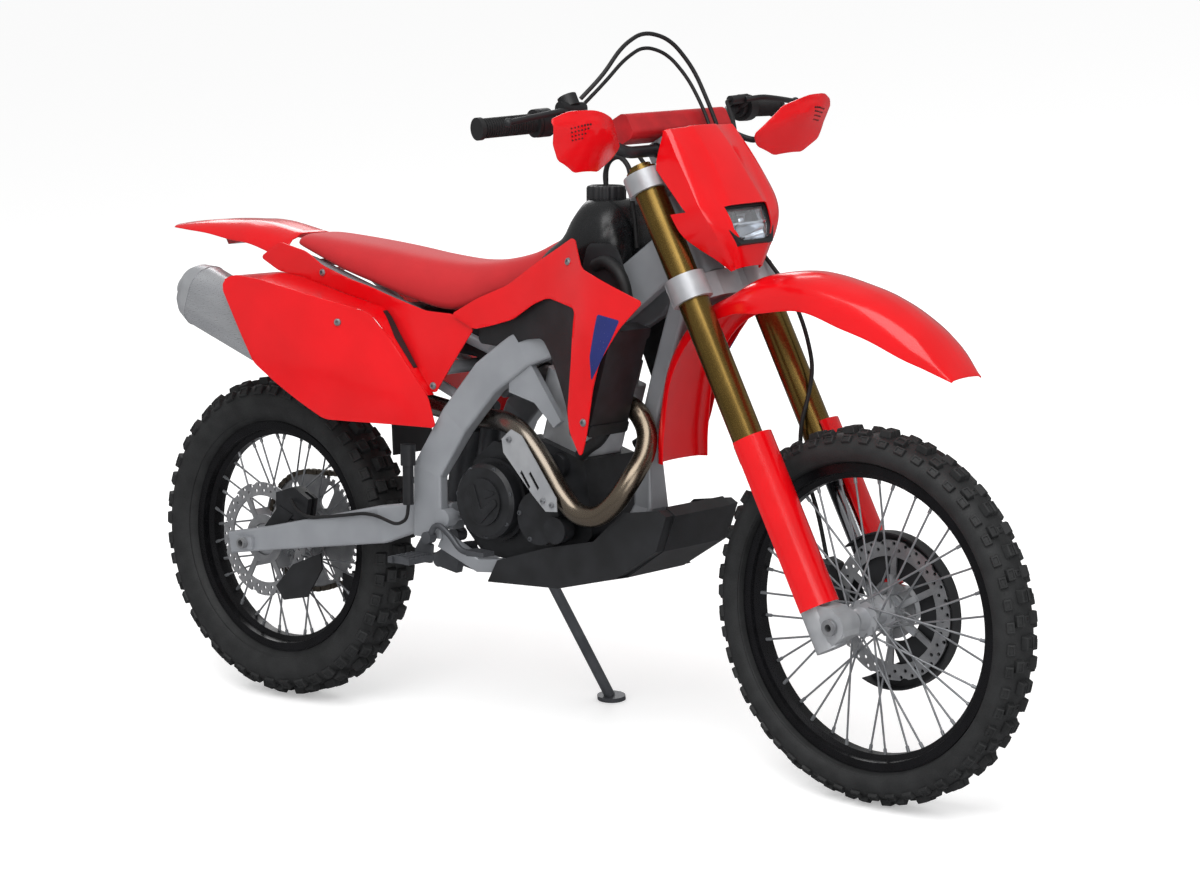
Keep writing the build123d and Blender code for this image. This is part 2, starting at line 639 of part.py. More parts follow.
with BuildPart() as sprocket_cover:
    slab(spread([(-176, 500), (-122, 520), (-66, 500), (-58, 452), (-70, 410), (-118, 396), (-150, 404)]), 88, 98)
    disc(spread(COUNTERSHAFT), 14, 62, 88)
    disc(spread(COUNTERSHAFT), pitch_radius(FRONT_TEETH) - 9, CHAIN_Y - 3, CHAIN_Y + 3)

with BuildPart() as exhaust_header:
    pipe(spread([
        (199, -37, 695), (234, -43, 684), (258, -43, 648), (268, -64, 606), (264, -102, 564), (244, -122, 520),
        (204, -124, 488), (154, -124, 486), (112, -122, 520), (66, -120, 580), (14, -118, 632), (-44, -96, 646),
        (-102, -58, 642), (-160, -52, 642), (-230, -54, 650), (-290, -76, 666), (-350, -112, 684), (-412, -142, 697),
    ]), 20, 18)


with BuildPart() as heat_shield:
    panel(spread([(-14, 622), (10, 642), (36, 632), (122, 520), (124, 494), (96, 492), (64, 520), (-10, 596)]),
          spread([(-20, -150), (130, -151)]), 2.0)
    for low, high in ((-8, 14), (14, 36)):
        slab(spread([(40 + low, 560), (44 + low, 566), (66 + low, 536), (62 + low, 530)]), -160, -140, mode=Mode.SUBTRACT)

with BuildPart() as silencer:
    muffler_end = spread(Vector(-822, -150, 852))
    run = Vector(cos(radians(20)), 0, -sin(radians(20)))
    sections = []
    for distance, wide, tall in ((0, 104, 130), (250, 104, 128), (330, 92, 112), (392, 60, 62), (404, 48, 48)):
        plane = Plane(origin=muffler_end + run * distance, x_dir=LEFT, z_dir=run)
        with BuildSketch(plane) as section:
            RectangleRounded(wide, tall, 0.46 * wide)
        sections.append(section.sketch)
    loft(sections, ruled=True)

with BuildPart() as silencer_cap:
    sections = []
    for distance, wide, tall in ((-46, 72, 92), (-30, 90, 116), (-0.3, 106, 132)):
        plane = Plane(origin=muffler_end + run * distance, x_dir=LEFT, z_dir=run)
        with BuildSketch(plane) as section:
            RectangleRounded(wide, tall, 0.46 * wide)
        sections.append(section.sketch)
    loft(sections, ruled=True)
    rod(muffler_end - run * 60, muffler_end - run * 5, 26)
    rod(muffler_end - run * 70, muffler_end - run * 20, 22, mode=Mode.SUBTRACT)

# --- cooling, fuel and intake -------------------------------------------------------------------------------------------
RADIATOR_TILT = 16.0


def radiator_plane(distance):
    """A plane across the right radiator, this far in front of its core, with x to the left and y up its face."""
    up = Vector(sin(radians(RADIATOR_TILT)), 0, cos(radians(RADIATOR_TILT)))
    ahead = Vector(cos(radians(RADIATOR_TILT)), 0, -sin(radians(RADIATOR_TILT)))
    return Plane(origin=spread(Vector(240, -122, 750)) + ahead * distance, x_dir=LEFT, z_dir=LEFT.cross(up))


with BuildPart() as radiators:
    with BuildSketch(radiator_plane(-16)) as core:
        Rectangle(112, 168)
    extrude(core.sketch, amount=26)
    for y in (-93, 93):
        with BuildSketch(radiator_plane(-19)) as tank:
            with Locations((0, y)):
                RectangleRounded(116, 22, 6)
        extrude(tank.sketch, amount=32)
    both_sides()

with BuildPart() as hoses:
    for side in (-1, 1):
        pipe(spread([(196, side * 96, 648), (180, side * 96, 628), (150, side * 92, 612), (128, side * 84, 596)]), 12)
    pipe(spread([(-262, -145, 469), (-266, -145, 440), (-300, -138, 424), (-380, -130, 440), (-470, -128, 424),
          (-560, -124, 410), (-612, -104, 420), (-640, -91, 436)]), 3.5)
    pipe(spread([(122, 0, 1105.4), (122, 0, 1140), (150, 2, 1170), (190, 2, 1170), (216, 0, 1144)]), 4)

with BuildPart() as fuel_tank:
    sections = []
    for z, low, high, half in ((862, 20, 160, 70), (930, -28, 206, 92), (1000, -6, 218, 94), (1052, 36, 196, 70),
                               (1078, 84, 176, 46)):
        low, high = spread_x(low), spread_x(high)
        with BuildSketch(Plane.XY.offset(z)) as section:
            with Locations(((low + high) / 2, 0)):
                RectangleRounded(high - low, 2 * half, 30)
        sections.append(section.sketch)
    loft(sections, ruled=True)
    slab(spread([(-80, 846), (60, 876), (200, 960), (300, 1040), (300, 840)]), -110, 110, mode=Mode.SUBTRACT)
    slab(spread([(-120, 860), (-32, 900), (26, 940), (34, 1004), (-120, 1004)]), -110, 110, mode=Mode.SUBTRACT)
    with BuildSketch(Plane.XY.offset(1078.2)) as cap:
        with Locations(spread((122, 0))):
            RegularPolygon(36, 14)
    extrude(cap.sketch, amount=22)
    with BuildSketch(Plane.XY.offset(1100.2)) as cap_top:
        with Locations(spread((122, 0))):
            Circle(26)
    extrude(cap_top.sketch, amount=5)

with BuildPart() as intake:
    rod(spread((8, 0, 712)), spread((-90, 0, 742)), 27)
    rod(spread((-40, 0, 724)), spread((-62, 0, 732)), 33)
    sections = []
    for x, z, half, tall in ((-92, 745, 40, 70), (-170, 800, 54, 80), (-304, 812, 56, 80)):
        with BuildSketch(Plane(origin=spread((x, 0, z)), x_dir=LEFT, z_dir=(-1, 0, 0))) as section:
            RectangleRounded(2 * half, tall, 14)
        sections.append(section.sketch)
    loft(sections, ruled=True)
    slab(spread([(-300, 796), (-372, 742), (-388, 640), (-384, 548), (-380, 548), (-384, 640), (-368, 739), (-298, 792)]),
         -58, 58)

# --- seat and bodywork --------------------------------------------------------------------------------------------------
with BuildPart() as seat:
    sections = []
    for x, low, high, foot_half, top_half in (
        (-640, 962, 980, 62, 46), (-600, 950, 986, 76, 56), (-500, 918, 978, 84, 62), (-400, 892, 968, 88, 66),
        (-300, 866, 956, 88, 66), (-200, 852, 949, 84, 62), (-110, 884, 955, 78, 56), (-30, 908, 972, 70, 50),
        (24, 948, 996, 60, 42),
    ):
        with BuildSketch(Plane(origin=spread((x, 0, low)), x_dir=LEFT, z_dir=(1, 0, 0))) as section:
            with BuildLine():
                tall = high - low
                Polyline((-foot_half, 0), (-foot_half + 2, 0.55 * tall), (-top_half, 0.9 * tall), (0, tall),
                         (top_half, 0.9 * tall), (foot_half - 2, 0.55 * tall), (foot_half, 0), close=True)
            make_face()
        sections.append(section.sketch)
    loft(sections, ruled=True)

with BuildPart() as side_covers:
    panel(spread([(-584, 952), (-532, 926), (-432, 901), (-332, 876), (-240, 852), (-165, 850), (-112, 826), (-160, 760),
           (-216, 688), (-232, 712), (-300, 800), (-340, 852), (-400, 868), (-500, 888)]),
          spread([(-600, -96), (-400, -116), (-200, -119), (-100, -117)]))
    both_sides()

with BuildPart() as number_panels:
    panel(spread([(-694, 898), (-668, 908), (-600, 902), (-500, 882), (-404, 862), (-345, 846), (-306, 796), (-222, 686),
           (-204, 624), (-300, 626), (-440, 630), (-560, 700), (-612, 734), (-700, 880)]),
          spread([(-710, -226), (-600, -224), (-440, -206), (-320, -150), (-200, -128)]))
    both_sides()

with BuildPart() as tank_shrouds:
    panel(spread([(-165, 850), (-100, 884), (-20, 914), (60, 964), (150, 1014), (200, 960), (238, 950), (372, 908), (318, 858),
           (266, 790), (248, 740), (228, 650), (212, 608), (180, 655), (175, 690), (186, 790), (190, 884), (100, 898),
           (60, 884), (0, 850), (-60, 834), (-108, 824)]),
          spread([(-180, -124), (0, -130), (100, -146), (200, -186), (300, -206), (380, -208)]))
    both_sides()

with BuildPart() as radiator_louvres:
    panel(spread([(60, 880), (100, 893), (186, 880), (182, 790), (172, 690), (180, 650), (140, 690), (96, 790)]),
          spread([(50, -132), (120, -140), (200, -160)]))
    both_sides()
    for index in range(7):
        with BuildSketch(radiator_plane(14)) as slat:
            with Locations((-51 + 17 * index, 0)):
                Rectangle(3, 196)
        extrude(slat.sketch, amount=16)
    for y in (-98, 0, 98):
        with BuildSketch(radiator_plane(14)) as bar:
            with Locations((0, y)):
                Rectangle(116, 8)
        extrude(bar.sketch, amount=8)
    both_sides()

with BuildPart() as rear_fender:
    arched(spread([((-996, 992), (-990, 984), 78), ((-900, 1002), (-886, 978), 82), ((-760, 1004), (-750, 960), 88),
            ((-652, 984), (-654, 930), 88)]))

with BuildPart() as tail_light:
    slab(spread([(-872, 972), (-800, 978), (-800, 962), (-860, 952)]), -46, 46)

with BuildPart() as skid_plate:
    arched_floor = [(334, 512), (352, 500), (326, 436), (240, 378), (92, 342), (-84, 334), (-84, 331), (94, 338),
                    (244, 373), (330, 432), (357, 502), (336, 517)]
    slab(spread(arched_floor), -88, 88)
    slab(spread([(338, 512), (328, 436), (240, 377), (92, 341), (-84, 333), (-60, 376), (66, 414), (180, 438), (250, 500)]),
         -112, -108.8)
    slab(spread([(238, 378), (92, 341), (-84, 333), (-84, 331), (94, 338), (242, 374)]), -112, -84)
    slab(spread([(338, 512), (328, 436), (240, 377), (330, 434), (354, 503)]), -112, -84)
    both_sides()

with BuildPart() as foot_controls:
    slab(spread([(-262, 362), (-206, 362), (-206, 374), (-262, 374)]), -206, -132)
    slab(spread([(-250, 358), (-218, 358), (-218, 384), (-250, 384)]), -208, -140, mode=Mode.SUBTRACT)
    for y in range(-200, -140, 14):
        slab(spread([(-258, 362), (-210, 362), (-210, 376), (-258, 376)]), y - 1.5, y + 1.5)
    slab(spread([(-252, 356), (-216, 356), (-212, 392), (-240, 404), (-256, 380)]), -134, -125)
    both_sides()
    pipe(spread([(-216, -136, 408), (-196, -137, 440), (-160, -138, 420), (-128, -139, 388), (-86, -140, 392)]), 6)
    slab(spread([(-92, 388), (-48, 390), (-48, 398), (-92, 400)]), -166, -134)
    disc(spread((-216, 408)), 12, -146, -127.2)
    pipe(spread([(-100, 134, 404), (-60, 136, 408), (-10, 140, 414), (40, 142, 430)]), 5.5)
    rod(spread((38, 138, 430)), spread((38, 172, 430)), 8)
    disc(spread((-100, 404)), 11, 98.4, 142)

with BuildPart() as rear_brake:
    slab(spread([(-690, 398), (-606, 392), (-596, 440), (-640, 462), (-690, 446)]), -86, -58)
    slab(spread([(-700, 380), (-590, 376), (-590, 452), (-700, 450)]), REAR_DISC_Y - 4, REAR_DISC_Y + 4, mode=Mode.SUBTRACT)
    slab(spread([(-760, 330), (-720, 330), (-640, 404), (-680, 420)]), -88, -80)
    disc(REAR_AXLE[::2], AXLE_RADIUS + 0.3, -100, -60, mode=Mode.SUBTRACT)
    rod(spread((-262, -145, 470)), spread((-262, -145, 548)), 11)
    rod(spread((-262, -145, 548)), spread((-262, -145, 590)), 15)

with BuildPart() as disc_and_chain_guards:
    panel(spread([(-640, 300), (-560, 332), (-556, 300), (-600, 236), (-668, 222), (-690, 250)]), spread([(-700, -90), (-550, -90)]), 4)
    slab(spread([(-640, 206), (-560, 214), (-548, 262), (-640, 262)]), 58, 64)
    slab(spread([(-640, 206), (-560, 214), (-548, 262), (-640, 262)]), 86, 91)
    slab(spread([(-640, 200), (-560, 208), (-560, 216), (-640, 208)]), 58, 91)

# --- chain --------------------------------------------------------------------------------------------------------------
with BuildPart() as drive_chain:
    rear = Vector(REAR_AXLE[0], REAR_AXLE[2])
    front = Vector(*spread(COUNTERSHAFT))
    rear_radius, front_radius = pitch_radius(REAR_TEETH), pitch_radius(FRONT_TEETH)
    span = front - rear
    tilt = atan2(span.Y, span.X)
    wrap = atan2(rear_radius - front_radius, span.length)

    def chain_loop(grow):
        """The chain's run around both sprockets, this far outside the pitch line."""
        top, foot = tilt + pi / 2 + wrap, tilt - pi / 2 - wrap
        out_rear, out_front = rear_radius + grow, front_radius + grow
        spots = [rear + Vector(cos(a), sin(a)) * out_rear for a in (top, tilt + pi, foot)]
        spots += [front + Vector(cos(a), sin(a)) * out_front for a in (foot, tilt, top)]
        with BuildSketch(SIDE.offset(-CHAIN_Y - CHAIN_HALF_WIDTH)) as loop:
            with BuildLine():
                ThreePointArc(*spots[:3])
                Line(spots[2], spots[3])
                ThreePointArc(*spots[3:])
                Line(spots[5], spots[0])
            make_face()
        return loop.sketch

    extrude(chain_loop(CHAIN_HALF_HEIGHT), amount=2 * CHAIN_HALF_WIDTH)
    extrude(chain_loop(-CHAIN_HALF_HEIGHT), amount=2 * CHAIN_HALF_WIDTH, mode=Mode.SUBTRACT)
    disc(tuple(rear), rear_radius + CHAIN_HALF_HEIGHT + 1, CHAIN_Y - 5, CHAIN_Y + 5, mode=Mode.SUBTRACT)

# --- fork and front end, in the fork's frame ----------------------------------------------------------------------------
def leg(low, high, radius, y=-FORK_SPACING, mode=Mode.ADD):
    """A length of the right fork leg."""
    rod((FORK_LEG_X, y, low), (FORK_LEG_X, y, high), radius, mode=mode)


def clamp(low, high, reach, gap=0.2):
    """A fork clamp: a bridge across the steering axis with a ring around each leg."""
    with BuildSketch(Plane.XY.offset(low)) as bridge:
        with BuildLine():
            Polyline((-30, -30), (-30, 30), (reach, FORK_SPACING + 20), (reach + 26, FORK_SPACING + 10),
                     (40, 30), (40, -30), (reach + 26, -FORK_SPACING - 10), (reach, -FORK_SPACING - 20), close=True)
        make_face()
        Circle(40)
        with Locations((FORK_LEG_X, FORK_SPACING), (FORK_LEG_X, -FORK_SPACING)):
            Circle(FORK_TUBE_RADIUS + 9)
            Circle(FORK_TUBE_RADIUS + gap, mode=Mode.SUBTRACT)
    extrude(bridge.sketch, amount=high - low)
    for side in (-1, 1):
        rods([((FORK_LEG_X - 37, side * (FORK_SPACING + 12), z), (FORK_LEG_X - 37, side * (FORK_SPACING - 34), z))
              for z in (low + 10, high - 10)], 5)


with BuildPart() as fork_clamps:
    clamp(*TOP_CLAMP, FORK_LEG_X - 34)
    rod((0, 0, TOP_CLAMP[1]), (0, 0, TOP_CLAMP[1] + 14), 20)
    for side in (-1, 1):
        rod((44, side * 46, TOP_CLAMP[0]), (44, side * 46, TOP_CLAMP[1] + 20), 16)
        with BuildSketch(Plane.XZ.offset(side * 46 - 16)) as riser:
            with Locations((44, BAR_CENTRE_Z)):
                Rectangle(46, 34)
        extrude(riser.sketch, amount=32, dir=(0, -1, 0))
    rod((44, -90, BAR_CENTRE_Z), (44, 90, BAR_CENTRE_Z), BAR_RADIUS + 3.2, mode=Mode.SUBTRACT)
    clamp(*BOTTOM_CLAMP, FORK_LEG_X - 34)
    rod((0, 0, BOTTOM_CLAMP[1]), (0, 0, TOP_CLAMP[0]), STEM_RADIUS)

with BuildPart() as fork_tubes:
    leg(FORK_TUBE_BOTTOM, FORK_TUBE_TOP, FORK_TUBE_RADIUS)
    leg(FORK_TUBE_BOTTOM - 8, FORK_TUBE_BOTTOM + 26, FORK_TUBE_RADIUS + 1.5)
    leg(FORK_TUBE_TOP, FORK_TUBE_TOP + 8, 21)
    leg(FORK_TUBE_BOTTOM - 20, FORK_TUBE_TOP - 20, FORK_SLIDER_RADIUS + 0.2, mode=Mode.SUBTRACT)
    both_sides()

with BuildPart() as fork_sliders:
    leg(62.2, FORK_TUBE_TOP - 60, FORK_SLIDER_RADIUS)
    both_sides()

with BuildPart() as axle_lugs:
    with BuildSketch(Plane.XY.offset(-34)) as boot:
        with Locations((FORK_LEG_X, -FORK_SPACING)):
            Circle(29)
    extrude(boot.sketch, amount=96)
    slab([(FORK_LEG_X, -34), (FORK_OFFSET + 20, -26), (FORK_OFFSET + 28, 2), (FORK_OFFSET + 16, 30), (FORK_LEG_X, 60)],
         -FORK_SPACING - 22, -FORK_SPACING + 22)
    disc((FORK_OFFSET, 0), 28, -FORK_SPACING - 24, -FORK_SPACING + 26)
    disc((FORK_OFFSET, 0), AXLE_RADIUS + 0.1, -140, -60, mode=Mode.SUBTRACT)
    both_sides()

with BuildPart() as fork_guards:
    with BuildSketch(Plane.XY.offset(44)) as shell:
        with Locations((FORK_LEG_X + 6, -FORK_SPACING)):
            Circle(40)
            Circle(37, mode=Mode.SUBTRACT)
        with Locations((-20, -FORK_SPACING + 20)):
            Rectangle(70, 130, mode=Mode.SUBTRACT)
        with Locations((FORK_LEG_X, -FORK_SPACING + 56)):
            Rectangle(120, 60, mode=Mode.SUBTRACT)
    extrude(shell.sketch, amount=330)
    both_sides()

with BuildPart() as front_fender:
    arched([((450, 304), (444, 298), 46), ((419, 418), (380, 372), 70), ((318, 540), (289, 473), 76),
            ((236, 604), (221, 536), 76), ((134, 640), (124, 574), 70), ((60, 642), (58, 601), 64),
            ((-30, 640), (-32, 604), 63), ((-128, 590), (-124, 556), 64), ((-212, 492), (-190, 470), 65),
            ((-248, 430), (-222, 418), 66)])

with BuildPart() as headlight_mask:
    sections = []
    for w, front, flat, side_front, side_back, half in (
        (951, 116, 84, 112, 100, 95), (898, 128, 80, 118, 60, 105), (794, 146, 74, 136, 60, 112),
        (744, 146, 64, 134, 62, 98), (700, 118, 48, 106, 82, 64), (674, 96, 34, 90, 84, 40),
    ):
        outer = [(side_back, half), (side_front, flat), (front, 0), (side_front, -flat), (side_back, -half)]
        inner = [(side_back, SKIN - half), (side_front - SKIN, SKIN - flat), (front - SKIN, 0),
                 (side_front - SKIN, flat - SKIN), (side_back, half - SKIN)]
        sections.append(filled(Plane.XY.offset(w), [*outer, *inner]))
    loft(sections, ruled=True)
    with BuildSketch(Plane.YZ.offset(60)) as window:
        with Locations((0, 744)):
            Trapezoid(108, 62, 75, rotation=180)
    extrude(window.sketch, amount=100, mode=Mode.SUBTRACT)
    with BuildSketch(Plane.XZ.offset(-140)) as notch:
        with BuildLine():
            Polyline((40, 890), (60, 890), (92, 792), (60, 802), (40, 810), close=True)
        make_face()
    extrude(notch.sketch, amount=280, mode=Mode.SUBTRACT)

with BuildPart() as headlight:
    with BuildSketch(Plane.YZ.offset(84)) as lens:
        with Locations((0, 744)):
            Trapezoid(104, 58, 75, rotation=180)
    extrude(lens.sketch, amount=46, taper=4)

with BuildPart() as handlebar:
    half_bar = [(BAR_END[0], -BAR_END[1], BAR_END[2]), BAR_BEND, (44, -150, BAR_CENTRE_Z)]
    pipe([*half_bar, *[(x, -y, z) for x, y, z in reversed(half_bar)]], BAR_RADIUS, BAR_RADIUS - 3, [50] * 4)

with BuildPart() as bar_pad:
    with BuildSketch(Plane.XZ.offset(140)) as pad:
        with Locations((47, 985)):
            RectangleRounded(50, 50, 14)
    extrude(pad.sketch, amount=280, dir=(0, 1, 0))

with BuildPart() as grips:
    tip = Vector(BAR_END[0], -BAR_END[1], BAR_END[2])
    inward = (Vector(*BAR_BEND) - tip).normalized()
    rod(tip - inward * 4, tip + inward * GRIP_LENGTH, GRIP_RADIUS)
    rod(tip - inward * 6, tip + inward * 3, GRIP_RADIUS + 4)
    rod(tip + inward * (GRIP_LENGTH - 6), tip + inward * GRIP_LENGTH, GRIP_RADIUS + 9)
    rod(tip, tip + inward * (GRIP_LENGTH + 1), BAR_RADIUS + 0.2, mode=Mode.SUBTRACT)
    both_sides()

with BuildPart() as bar_controls:
    pipe([(40, -250, 1030), (54, -284, 1027), (48, -340, 1023), (34, -402, 1021)], 5.5)
    with Locations((34, -404, 1021)):
        Sphere(8.5)
    both_sides()
    tip = Vector(BAR_END[0], -BAR_END[1], BAR_END[2])
    inward = (Vector(*BAR_BEND) - tip).normalized()
    housing = tip + inward * (GRIP_LENGTH + 1)
    rod(housing, housing + inward * 24, 26)
    both_sides()
    perch = tip + inward * (GRIP_LENGTH + 28)
    rod(perch, perch + inward * 14, 18)
    both_sides()
    rod((38, -266, 1040), (38, -206, 1036), 12)
    rod((38, -236, 1040), (38, -236, 1062), 18)
    rod((32, 266, 1036), (32, 214, 1034), 9)
    for side in (-1, 1):
        rod((8, side * 256, 1028), (36, side * 256, 1032), 9)
    for side in (-1, 1):
        start = Vector(tip.X, -side * tip.Y, tip.Z)
        along = Vector(inward.X, -side * inward.Y, inward.Z)
        rod(start, start + along * (GRIP_LENGTH + 56), BAR_RADIUS + 0.2, mode=Mode.SUBTRACT)

with BuildPart() as handguards:
    rim_points = [(72, -190, 957), (126, -236, 976), (148, -305, 983), (134, -366, 986), (117, -392, 986),
                  (84, -372, 940), (60, -293, 910), (52, -250, 912), (58, -206, 930)]
    centre = Vector(104, -296, 950)
    guard_plane = Plane(origin=centre, x_dir=(0, 1, 0), z_dir=Vector(0.64, 0, -0.77))
    flat = [guard_plane.to_local_coords(Vector(*p)) for p in rim_points]
    extrude(filled(guard_plane, [(p.X, p.Y) for p in flat]), amount=3)
    pipe([(44, -190, 970), (66, -200, 964), (88, -226, 958), (98, -250, 952)], 6)
    both_sides()

with BuildPart() as front_caliper:
    x, _, z = FRONT_HUB
    slab([(-70, 40), (-34, 50), (-26, 122), (-44, 140), (-84, 128), (-92, 70)], 40, 84)
    slab([(-110, 30), (-10, 30), (-10, 150), (-110, 150)], FRONT_DISC_Y - 4, FRONT_DISC_Y + 4, mode=Mode.SUBTRACT)
    slab([(-40, 44), (-40, 96), (FORK_LEG_X - 29.4, 96), (FORK_LEG_X - 29.4, 50)], 74, 84)

with BuildPart() as front_disc_guard:
    guard_ring = facing(FRONT_HUB[::2], FRONT_DISC_Y + DISC_THICKNESS / 2 + 5.5)
    with BuildSketch(guard_ring) as cover:
        Circle(146)
        Circle(58, mode=Mode.SUBTRACT)
        with Locations((-110, 40)):
            Rectangle(150, 260, mode=Mode.SUBTRACT)
    extrude(cover.sketch, amount=-3)
    with BuildSketch(guard_ring) as lip:
        Circle(146)
        Circle(143, mode=Mode.SUBTRACT)
        with Locations((-110, 40)):
            Rectangle(150, 260, mode=Mode.SUBTRACT)
    extrude(lip.sketch, amount=22)
    leg(-40, 80, 31, y=FORK_SPACING, mode=Mode.SUBTRACT)

with BuildPart() as bar_hoses:
    pipe([(44, -209, 1053), (80, -170, 1080), (100, -110, 1128), (106, -44, 1152), (106, 20, 1134), (98, 62, 1076),
          (88, 78, 1000), (82, 82, 930), (78, 84, 850), (66, 84, 784), (58, 88, 732), (68, 93, 688),
          (79, 105, 625), (78, 106, 545), (68, 98, 474), (50, 74, 424), (26, 59, 388), (0, 57, 345),
          (-16, 64, 288), (-30, 72, 220), (-50, 72, 141)], 4)
    pipe([(36, -196, 1046), (66, -152, 1074), (84, -100, 1108), (90, -40, 1130), (90, 16, 1112), (88, 48, 1062),
          (86, 60, 1000), (82, 60, 930), (74, 50, 870)], 3.5)
    pipe([(32, 213.6, 1034), (34, 200, 1032), (50, 178, 986), (66, 146, 946), (68, 104, 932), (66, 76, 900),
          (64, 68, 850)], 3.5)


with BuildPart() as side_stand:
    pivot = spread(Vector(*STAND_PIVOT))
    foot = pivot + STAND_DOWN
    shank = STAND_DOWN.normalized()
    rod(pivot - STAND_AXIS * STAND_BOSS_HALF, pivot + STAND_AXIS * STAND_BOSS_HALF, STAND_TUBE_RADIUS + 4)
    rod(pivot, foot - shank * 8, STAND_TUBE_RADIUS)
    ground_up = (0, -sin(radians(LEAN)), cos(radians(LEAN)))
    with BuildSketch(Plane(origin=foot, x_dir=(1, 0, 0), z_dir=ground_up)) as sole:
        Ellipse(32, 24)
    extrude(sole.sketch, amount=9)

# --- all pieces: name -> (builder, whether it is in the fork's frame) ----------------------------------------------
FRAME_PIECES = {
    "frame": frame, "subframe": subframe, "swingarm": swingarm, "rear_suspension": rear_suspension,
    "engine_cases": engine_cases, "cylinder": cylinder, "engine_covers": engine_covers,
    "sprocket_cover": sprocket_cover, "exhaust_header": exhaust_header, "heat_shield": heat_shield,
    "silencer": silencer, "silencer_cap": silencer_cap, "radiators": radiators, "hoses": hoses,
    "fuel_tank": fuel_tank, "intake": intake, "seat": seat, "side_covers": side_covers,
    "number_panels": number_panels, "tank_shrouds": tank_shrouds, "radiator_louvres": radiator_louvres,
    "rear_fender": rear_fender, "tail_light": tail_light, "skid_plate": skid_plate,
    "foot_controls": foot_controls, "rear_brake": rear_brake,
    "disc_and_chain_guards": disc_and_chain_guards, "drive_chain": drive_chain, "rear_axle": rear_axle,
    "rear_tyre": rear_tyre, "rear_rim": rear_rim, "rear_spokes": rear_spokes, "rear_hub": rear_hub,
    "rear_disc": rear_disc, "rear_sprocket": rear_sprocket, "side_stand": side_stand,
}
FORK_PIECES = {
    "fork_clamps": fork_clamps, "fork_tubes": fork_tubes, "fork_sliders": fork_sliders,
    "axle_lugs": axle_lugs, "fork_guards": fork_guards, "front_fender": front_fender,
    "headlight_mask": headlight_mask, "headlight": headlight, "handlebar": handlebar, "bar_pad": bar_pad,
    "grips": grips, "bar_controls": bar_controls, "handguards": handguards, "front_caliper": front_caliper,
    "front_disc_guard": front_disc_guard, "bar_hoses": bar_hoses, "front_axle": front_axle,
    "front_tyre": front_tyre, "front_rim": front_rim, "front_spokes": front_spokes, "front_hub": front_hub,
    "front_disc": front_disc,
}

os.makedirs("parts", exist_ok=True)
for on_fork, pieces in ((False, FRAME_PIECES), (True, FORK_PIECES)):
    for name, builder in pieces.items():
        builder.part = parked(builder.part, on_fork)
        builder.part.label = name
        export_step(builder.part, f"parts/{name}.step")
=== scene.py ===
# %% [markdown]
# # An enduro motorcycle, dressed in Blender
# The solids come from a CAD model, already in place and riding on their bodies. This file gives them
# their finishes, and adds what is better made as a mesh: tread blocks, curved plastics, chain links,
# bolts. Every length below is in millimetres on the upright motorcycle, and one matrix parks it.

import json
from math import acos, atan2, cos, pi, radians, sin

import bmesh
import bpy
import numpy as np
from mathutils import Matrix, Vector


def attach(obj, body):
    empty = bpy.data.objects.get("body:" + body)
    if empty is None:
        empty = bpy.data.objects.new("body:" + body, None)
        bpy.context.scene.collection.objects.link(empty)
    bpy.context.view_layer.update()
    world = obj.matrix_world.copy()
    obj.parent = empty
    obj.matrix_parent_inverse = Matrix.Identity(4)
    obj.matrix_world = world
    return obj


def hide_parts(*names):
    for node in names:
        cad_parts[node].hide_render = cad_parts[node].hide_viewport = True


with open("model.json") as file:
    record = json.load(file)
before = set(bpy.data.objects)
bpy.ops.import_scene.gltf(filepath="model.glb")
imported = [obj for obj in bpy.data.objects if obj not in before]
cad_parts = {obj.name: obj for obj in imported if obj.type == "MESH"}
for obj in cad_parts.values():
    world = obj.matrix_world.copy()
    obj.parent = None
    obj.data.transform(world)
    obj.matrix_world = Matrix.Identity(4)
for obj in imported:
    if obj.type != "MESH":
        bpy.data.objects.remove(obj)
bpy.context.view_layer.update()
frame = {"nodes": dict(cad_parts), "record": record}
NODES = frame["nodes"]

# %% [markdown]
# ## Where things are
# The motorcycle leans on its side stand and its steering rests a little to the right. A point is
# easiest to think of on the upright machine (x forwards, y to the rider's left, z up), or for the
# front end in the fork's own frame, whose third axis is the steering axis. These two matrices take
# such points to their place, and from millimetres to metres.

# %% Two matrices
RAKE, LEAN, STEER_AT_REST = 27.4, 9.0, -3.9
FRONT_AXLE, REAR_AXLE = Vector((741, 0, 348.559)), Vector((-741, 0, 340.484))
FORK_OFFSET = 56.7
FRONT_HUB = Vector((FORK_OFFSET, 0, 0))
MIDDLE = Vector((4.5, 194.625, 0))

MM = Matrix.Scale(0.001, 4)
BIKE = MM @ Matrix.Translation(-MIDDLE) @ Matrix.Rotation(-radians(LEAN), 4, "X")
fork_turn = Matrix.Rotation(-radians(RAKE), 4, "Y")
fork_origin = FRONT_AXLE - fork_turn.to_3x3() @ Vector((FORK_OFFSET, 0, 0))
FORK = BIKE @ Matrix.Translation(fork_origin) @ fork_turn @ Matrix.Rotation(radians(STEER_AT_REST), 4, "Z")
print("front hub at", [round(v, 3) for v in FORK @ FRONT_HUB])

# %% [markdown]
# ## Writing a material
# A finish is a small network of nodes. One function adds a node, sets its settings and makes its
# links, so each material below reads like its recipe. Colours are written as on the web, in sRGB,
# and turned to the linear values that the shader works with.

# %% Nodes and colours
def linear(hex_colour):
    """An sRGB hex colour as linear red, green, blue and alpha."""
    channels = [int(hex_colour[i:i + 2], 16) / 255 for i in (1, 3, 5)]
    return [c / 12.92 if c <= 0.04045 else ((c + 0.055) / 1.055) ** 2.4 for c in channels] + [1]


